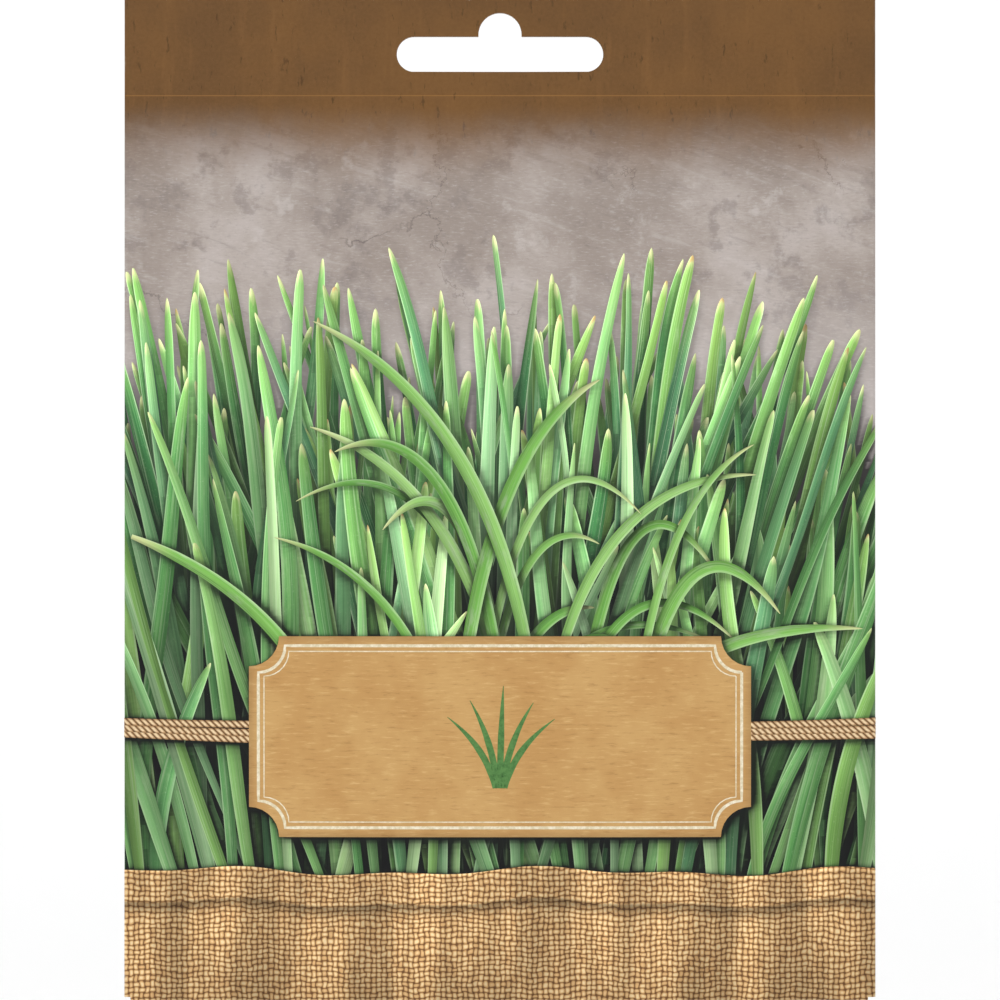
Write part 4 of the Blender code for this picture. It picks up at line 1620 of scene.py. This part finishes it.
def make_stamp_tree():
    """Copies of a flat shape at each point, turned and sized as the point says, laid on the paper's face."""
    takes = {
        "Places": ("Geometry",),
        "Shape": ("Object",),
        "Paper": ("Object",),
        "Side": ("Float", 1.0),
        "Lift": ("Float", 0.0),
        "Step": ("Float", 0.0),
        "Material": ("Material",),
    }
    tree, n, taken, given = new_group("stamps on paper", takes, {"Stamps": "Geometry"}, "GeometryNodeTree")
    points = n.add("GeometryNodeMeshToPoints", {"Mesh": taken["Places"]}).outputs[0]
    shape = n.add("GeometryNodeObjectInfo", {"Object": taken["Shape"]}).outputs["Geometry"]
    size = n.add("GeometryNodeInputNamedAttribute", {"Name": "size"}, data_type="FLOAT_VECTOR").outputs[0]
    turn = n.add("GeometryNodeInputNamedAttribute", {"Name": "turn"}, data_type="FLOAT").outputs[0]
    turned = n.add("FunctionNodeEulerToRotation", {"Euler": n.join(0.0, turn, 0.0)}).outputs[0]
    number = n.add("GeometryNodeInputIndex").outputs[0]
    rise = n.maths("MULTIPLY_ADD", number, taken["Step"], taken["Lift"])
    marked = n.add("GeometryNodeStoreNamedAttribute", {"Geometry": points, "Name": "lift", "Value": rise})
    copies = n.add("GeometryNodeInstanceOnPoints", {"Points": marked.outputs[0], "Instance": shape})
    n.feed(copies.inputs["Rotation"], turned)
    n.feed(copies.inputs["Scale"], size)
    realized = n.add("GeometryNodeRealizeInstances", {"Geometry": copies.outputs[0]})
    laid = n.add("GeometryNodeSetPosition", {"Geometry": realized.outputs[0]})
    lift = n.add("GeometryNodeInputNamedAttribute", {"Name": "lift"}, data_type="FLOAT").outputs[0]
    n.feed(laid.inputs["Position"], on_paper(n, taken["Paper"], taken["Side"], lift))
    dressed = n.add("GeometryNodeSetMaterial", {"Geometry": laid.outputs[0]})
    n.feed(dressed.inputs["Material"], taken["Material"])
    n.feed(given[0], dressed.outputs[0])
    return tree


STAMP_TREE = make_stamp_tree()


def make_stamps(name, outline, places, material, paper, lift, spacing=0.2, step=0.0):
    """A printed shape repeated over the back. A place is x, z, width, height and turn, in mm and radians,
    with x to the right as seen from behind."""
    flat, faces = flat_shape(outline, spacing)
    shape = mesh_object(name + "_shape", [(x, 0.0, z) for x, z in flat], faces, material)
    mesh = bpy.data.meshes.new(name)
    mesh.from_pydata([(-x * MM, 0.0, z * MM) for x, z, *_ in places], [], [])
    sizes = [(wide * MM, MM, high * MM) for _, _, wide, high, _ in places]
    give_vectors(mesh, "size", sizes, domain="POINT")
    give_numbers(mesh, "turn", [turn for *_, turn in places])
    made = add_object(name, mesh)
    tree = made.modifiers.new("stamps", "NODES")
    tree.node_group = STAMP_TREE
    set_inputs(tree, Shape=shape, Paper=paper, Side=1.0, Lift=lift, Step=step, Material=material)
    plain_mesh(made)
    bpy.data.objects.remove(shape)
    face_outwards(made, 1)
    made.data.shade_smooth()
    return dress(made)


def square(corner=0.0, points=5):
    """A square of side 1 with rounded corners."""
    inside = 0.5 - corner
    outline = []
    for sign_x, sign_z, first in ((1, -1, -90), (1, 1, 0), (-1, 1, 90), (-1, -1, 180)):
        corner_points = arc(sign_x * inside, sign_z * inside, corner, first, first + 90, points)
        outline += corner_points if corner else corner_points[:1]
    return outline


def disc(points=40):
    """A disc of diameter 1."""
    return arc(0.0, 0.0, 0.5, 0, 360, points)[:-1]


def drop(points=40):
    """A water drop of height 1."""
    outline = []
    for a in steps(0, 2 * math.pi, points)[:-1]:
        narrow = math.sin(a / 2) ** 1.6
        outline.append((0.36 * math.sin(a) * narrow, 0.5 * math.cos(a)))
    return outline[::-1]


def leaf(points=14):
    """A pointed leaf of length 1 that stands on the origin."""
    right = [(0.17 * math.sin(math.pi * t**0.85), t) for t in steps(0, 1, points)]
    left = [(-x, z) for x, z in right[1:-1]]
    return right + left[::-1]


# Each ink's name, its colour and the colour of its thinner places
BACK_INKS = (
    ("leaf_ink", "#5d9444", "#4d8038"),
    ("sun_ink", "#d99a3c", "#c98a30"),
    ("water_ink", "#5c98b8", "#4e88a8"),
    ("soil_ink", "#8a6238", "#7a5530"),
    ("line_ink", "#9b968c", "#8a857b"),
    ("pale_ink", "#f6f1e2", "#ebe4d0"),
    ("seed_ink", "#26211d", "#3b332b"),
)

# The layout of the back's print, in mm
BACK_MIDDLE = 5.0
BACK_HALF = 48.0
HEADING_LINE = -22.5
PICTURE_LINE = -40.5
PICTURE_SIZE = 17.0
TABLE_TOP = -55.5
TABLE_ROW = 6.4
TABLE_ROWS = 4
MONTHS = 12
NOTE_LINES = steps(-91.0, -109.0, 3)
SOIL_TOP = -129.0
SOIL_LOW = -139.5


def back_columns(count):
    """The middles of equal columns across the back's printed area."""
    width = 2 * BACK_HALF / count
    return [BACK_MIDDLE - BACK_HALF + width * (i + 0.5) for i in range(count)], width


def back_line(points, half, lift, seed=0):
    """A ribbon's path on the back, with x to the right as seen from behind."""
    return [(-x, z) for x, z in points], half, lift, seed


def straight(x0, z0, x1, z1, half, lift):
    return back_line(dense([(x0, z0), (x1, z1)]), half, lift)


def make_calendar(paper, green, orange, brown, cream):
    """A sowing calendar of twelve columns, unlettered, with a bar in each row for its months."""
    columns, width = back_columns(MONTHS)
    rows = [TABLE_TOP - TABLE_ROW * (i + 0.5) for i in range(TABLE_ROWS)]
    heads = [(x, rows[0], width - 0.5, TABLE_ROW - 0.5, 0.0) for x in columns]
    make_stamps("calendar_heads", square(0.12), heads, green, paper, BACK_LIFT)
    for name, row, first, last, ink in (
        # Piece, row, first month and last month, both from 0, and ink
        ("calendar_sow", 1, 2, 5, orange),
        ("calendar_plant", 2, 4, 7, brown),
        ("calendar_cut", 3, 3, 9, green),
    ):
        bars = [(columns[i], rows[row], width + 0.02, 2.8, 0.0) for i in range(first, last + 1)]
        make_stamps(name, square(), bars, ink, paper, BACK_LIFT)
    sizes = [1.0 + 0.22 * min(i, MONTHS - 1 - i) for i in range(MONTHS)]
    dots = [(x, rows[0], size, size, 0.0) for x, size in zip(columns, sizes)]
    make_stamps("calendar_dots", disc(24), dots, cream, paper, BACK_LIFT + 0.02 * MM)
    left, right = BACK_MIDDLE - BACK_HALF, BACK_MIDDLE + BACK_HALF
    low = TABLE_TOP - TABLE_ROWS * TABLE_ROW
    head = TABLE_TOP - TABLE_ROW
    across, down = steps(head, low, TABLE_ROWS - 1), steps(left, right, MONTHS)
    lines = [straight(left, z, right, z, 0.09, BACK_LIFT + 0.01 * MM) for z in across]
    lines += [straight(x, head, x, low, 0.07, BACK_LIFT + 0.015 * MM) for x in down]
    return lines


def make_pictures(paper, inks, cream):
    """Round pictures for light, water, growth and thinning out."""
    places, _ = back_columns(4)
    for (name, ink), middle in zip(inks, places):
        ring = [(middle + PICTURE_SIZE * x, PICTURE_LINE + PICTURE_SIZE * z) for x, z in disc(56)]
        make_patch(name, ring, ink, BACK_LIFT, side=1)
    sun, water, growth, spacing = places
    upper = BACK_LIFT + 0.02 * MM
    make_stamps("sun_disc", disc(36), [(sun, PICTURE_LINE, 6.2, 6.2, 0.0)], cream, paper, upper)
    rays = [
        (sun + 5.6 * math.sin(a), PICTURE_LINE + 5.6 * math.cos(a), 0.8, 2.4, -a)
        for a in steps(0, 2 * math.pi, 12)[:-1]
    ]
    make_stamps("sun_rays", square(0.3), rays, cream, paper, upper)
    drops = [(water, PICTURE_LINE + 1.6, 7.2, 8.2, 0.0)]
    drops += [(water + side * 3.8, PICTURE_LINE - 4.2, 3.4, 4.0, 0.0) for side in (-1, 1)]
    make_stamps("water_drops", drop(), drops, cream, paper, upper)
    tuft = ((12.4, 0.0), (11.4, -0.27), (11.4, 0.27), (9.6, -0.55), (9.6, 0.55))
    leaves = [(growth, PICTURE_LINE - 5.6, 5.4, length, turn) for length, turn in tuft]
    foot = PICTURE_LINE - 3.4
    seedling = ((6.8, 0.0), (5.8, -0.42), (5.8, 0.42))
    for side in (-1, 1):
        leaves += [(spacing + side * 4.2, foot, 4.2, length, turn) for length, turn in seedling]
    make_stamps("picture_leaves", leaf(), leaves, cream, paper, upper, step=0.002 * MM)
    low = foot - 2.0
    lines = [straight(spacing - 3.6, low, spacing + 3.6, low, 0.22, upper)]
    for side in (-1, 1):
        end = spacing + side * 4.3
        lines += [straight(end, low, end - side * 1.4, low + up, 0.22, upper) for up in (-1.1, 1.1)]
    lines.append(straight(growth - 4.0, PICTURE_LINE - 5.7, growth + 4.0, PICTURE_LINE - 5.7, 0.3, upper))
    return lines


def make_soil_print():
    """Printed garden soil: dark crumbs on brown, lighter towards its top."""
    made, n = new_material("printed_soil")
    flat, _, z = n.on_print()
    crumb = n.add("ShaderNodeTexVoronoi", {"Vector": flat, "Scale": 0.9}).outputs["Distance"]
    grit = n.noise(flat, 1.5, 4.0, 0.7)
    soil = n.layered(
        SOIL[0],
        (grit, 0.35, 0.65, 1.0, SOIL[1]),
        (crumb, 0.25, 0.75, 0.6, SOIL_CRUMB),
        (z, SOIL_LOW, SOIL_TOP, 0.35, SOIL_DRY),
    )
    finish_print(n, soil)
    return made


def soil_outline():
    left, right = BACK_MIDDLE - BACK_HALF, BACK_MIDDLE + BACK_HALF
    top = [(x, SOIL_TOP + 0.5 * math.sin(x / 3.1) + 0.35 * math.sin(x / 1.3)) for x in steps(right, left, 70)]
    return [(left, SOIL_LOW), (right, SOIL_LOW), *top]


# Each stage of growth: its blades, the tallest in mm, and how far they spread
GROWTH_STAGES = ((3, 4.0, 0.17), (7, 7.5, 0.24), (13, 11.5, 0.31), (21, 15.0, 0.38))


def make_growth_strip(paper, green, seed_ink):
    """From the sown seed to the full tuft, in the soil along the foot of the back."""
    make_patch("soil_print", soil_outline(), make_soil_print(), BACK_LIFT, side=1)
    columns, _ = back_columns(1 + len(GROWTH_STAGES))
    draw = np.random.default_rng(5)
    seeds = []
    for _ in range(7):
        x = columns[0] + draw.uniform(-7, 7)
        z = SOIL_TOP - 4 + draw.uniform(-0.7, 0.7)
        seeds.append((x, z, 1.3, 0.95, draw.uniform(-1, 1)))
    make_stamps("sown_seeds", drop(16), seeds, seed_ink, paper, BACK_LIFT + 0.02 * MM, 0.4)
    blades = []
    for x, (count, tallest, spread) in zip(columns[1:], GROWTH_STAGES):
        for i, lean in enumerate(steps(-spread, spread, count - 1)):
            length = tallest * draw.uniform(0.72, 1.0)
            t = steps(0.0, 1.0, 12)
            line_x = x + 0.32 * (i - count / 2) + lean * length * (0.4 * t + 0.6 * t**2)
            line_z = SOIL_TOP - 0.6 + length * t
            half = 0.34 * np.sqrt(np.clip((1 - t) / 0.35, 0.01, 1.0))
            blades.append(back_line(list(zip(line_x, line_z)), half, BACK_LIFT + (0.02 + 0.0006 * i) * MM, i))
    make_ribbons("growing_blades", blades, green, paper, side=1.0)


def make_back_print(paper):
    green, orange, blue, brown, grey, cream, seed_ink = (make_ink(*ink) for ink in BACK_INKS)
    heading = [(BACK_MIDDLE + x * 2 * BACK_HALF, HEADING_LINE + z * 8.0) for x, z in square()]
    make_patch("back_heading", heading, green, BACK_LIFT, side=1)
    sprigs = [
        (BACK_MIDDLE + 9.0 * i, HEADING_LINE - 2.6, 3.6, 5.2, turn)
        for i in range(-4, 5)
        for turn in (-0.5, 0.0, 0.5)
    ]
    make_stamps("heading_sprigs", leaf(), sprigs, cream, paper, BACK_LIFT + 0.02 * MM, step=0.001 * MM)
    inks = (("light_disc", orange), ("water_disc", blue), ("growth_disc", green), ("spacing_disc", brown))
    pale_lines = make_pictures(paper, inks, cream)
    grey_lines = make_calendar(paper, green, orange, brown, cream)
    make_ribbons("picture_lines", pale_lines, cream, paper, side=1.0)
    make_ribbons("calendar_lines", grey_lines, grey, paper, side=1.0)
    dots = [(x, z, 0.5, 0.5, 0.0) for z in NOTE_LINES for x in back_columns(64)[0]]
    make_stamps("note_lines", disc(10), dots, grey, paper, BACK_LIFT, 0.6)
    make_growth_strip(paper, green, seed_ink)


# The inner pieces


def make_glue():
    """A dried film of clear paste, glossy and a little yellow."""
    made, n = new_material("dried_paste")
    place = n.millimetres()
    pull = n.noise(n.vector("MULTIPLY", place, (1.0, 1.0, 0.2)), 0.8, 4.0, 0.6)
    finish_material(n, n.mix(pull, *PASTE), 0.28, pull, depth=0.05)
    return made


def make_husk():
    """Black angular seeds, wrinkled and dull."""
    made, n = new_material("black_seed_husk")
    place = n.millimetres()
    wrinkle = n.noise(place, 3.2, 5.0, 0.7)
    shine = n.times(n.minus(wrinkle, 0.5), 0.3)
    finish_material(n, n.mix(wrinkle, *HUSK), 0.55, wrinkle, shine, depth=0.10)
    return made


# The stage


def make_floor():
    """A round pale floor whose rim curves up into a wall far behind the packet."""
    made, n = new_material("pale_floor")
    place = n.add("ShaderNodeTexCoord").outputs["Object"]
    finish_material(n, n.mix(n.noise(place, 2.0, 3.0, 0.5), *FLOOR), 0.9, specular=0.1)
    level, flat, curve, wall, around = BOTTOM - 0.06, 3.2, 1.0, 1.2, 96
    profile = [(r, level) for r in (0.0, 0.4, 0.8, 1.6, 2.4)]
    profile += [*arc(flat, level + curve, curve, -90, 0, 16), (flat + curve, level + curve + wall)]
    turns = steps(0, 2 * math.pi, around)
    points = [(r * math.cos(a), r * math.sin(a), z) for r, z in profile for a in turns]
    floor = mesh_object("floor", points, grid_faces(len(profile), len(turns))[:, ::-1], made)
    weld(floor)
    floor.data.shade_smooth()


def add_area_light(name, place, target, size, power):
    light = bpy.data.lights.new(name, "AREA")
    light.shape = "SQUARE"
    light.size = size
    light.energy = power
    lamp = add_object(name, light)
    lamp.location = place
    lamp.rotation_euler = (Vector(target) - Vector(place)).to_track_quat("-Z", "Y").to_euler()


def make_light():
    """Even white light all round, a soft window at the upper left, and lamps on the backdrop."""
    middle = (0.0, 0.0, (TOP + BOTTOM) / 2)
    add_area_light("window_light", (-0.75, -1.15, 0.65), middle, 0.55, 3.0)
    for number, turn in enumerate((-2.2, -0.9, 0.9, 2.2), 1):
        place = (2.0 * math.sin(turn), 1.2 + 0.9 * math.cos(turn), 1.1)
        add_area_light(f"backdrop_light_{number}", place, (1.6 * place[0], 3.4, -0.1), 0.8, 4.0)
    world = bpy.data.worlds.new("studio")
    world.use_nodes = True
    background = world.node_tree.nodes["Background"].inputs
    background["Color"].default_value = (1.0, 1.0, 1.0, 1.0)
    background["Strength"].default_value = 1.0
    bpy.context.scene.world = world
    bpy.context.scene.view_settings.view_transform = "Standard"


def make_camera():
    """Square on to the front, so far that the packet's height fills the square picture."""
    lens = bpy.data.cameras.new("camera")
    lens.lens = 150.0
    lens.sensor_width = 36.0
    fills = 1.0015
    distance = PACKET_HEIGHT / fills * lens.lens / lens.sensor_width
    camera = add_object("camera", lens)
    camera.location = (0.0, FRONT_LAYER - PAPER / 2 - distance, (TOP + BOTTOM) / 2)
    camera.rotation_euler = (math.pi / 2, 0.0, 0.0)
    bpy.context.scene.camera = camera


def dress_nodes():
    glue, husk = make_glue(), make_husk()
    for name in ("header_seal", "side_seam_glue", "bottom_flap_glue"):
        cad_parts[name].material_slots[0].material = glue
    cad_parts["seeds"].material_slots[0].material = husk


make_camera()
make_light()
make_floor()
envelope = make_envelope(make_envelope_paper(), make_paper_core())
blades, lines, loose = Blades(), print_lines(), arching_paths()
rows = list(print_rows(blades, lines))
cover = Cover(lines, rows, loose)
make_front_print(make_wall_print(), make_chive_print(), blades, lines, rows, cover)
make_loose_blades(loose, cover, envelope)
make_burlap(make_burlap_print())
wrap_folds(make_ribbons("twine_print", twine_paths(), make_twine_print(), envelope))
make_label(envelope)
make_back_print(envelope)
dress_nodes()
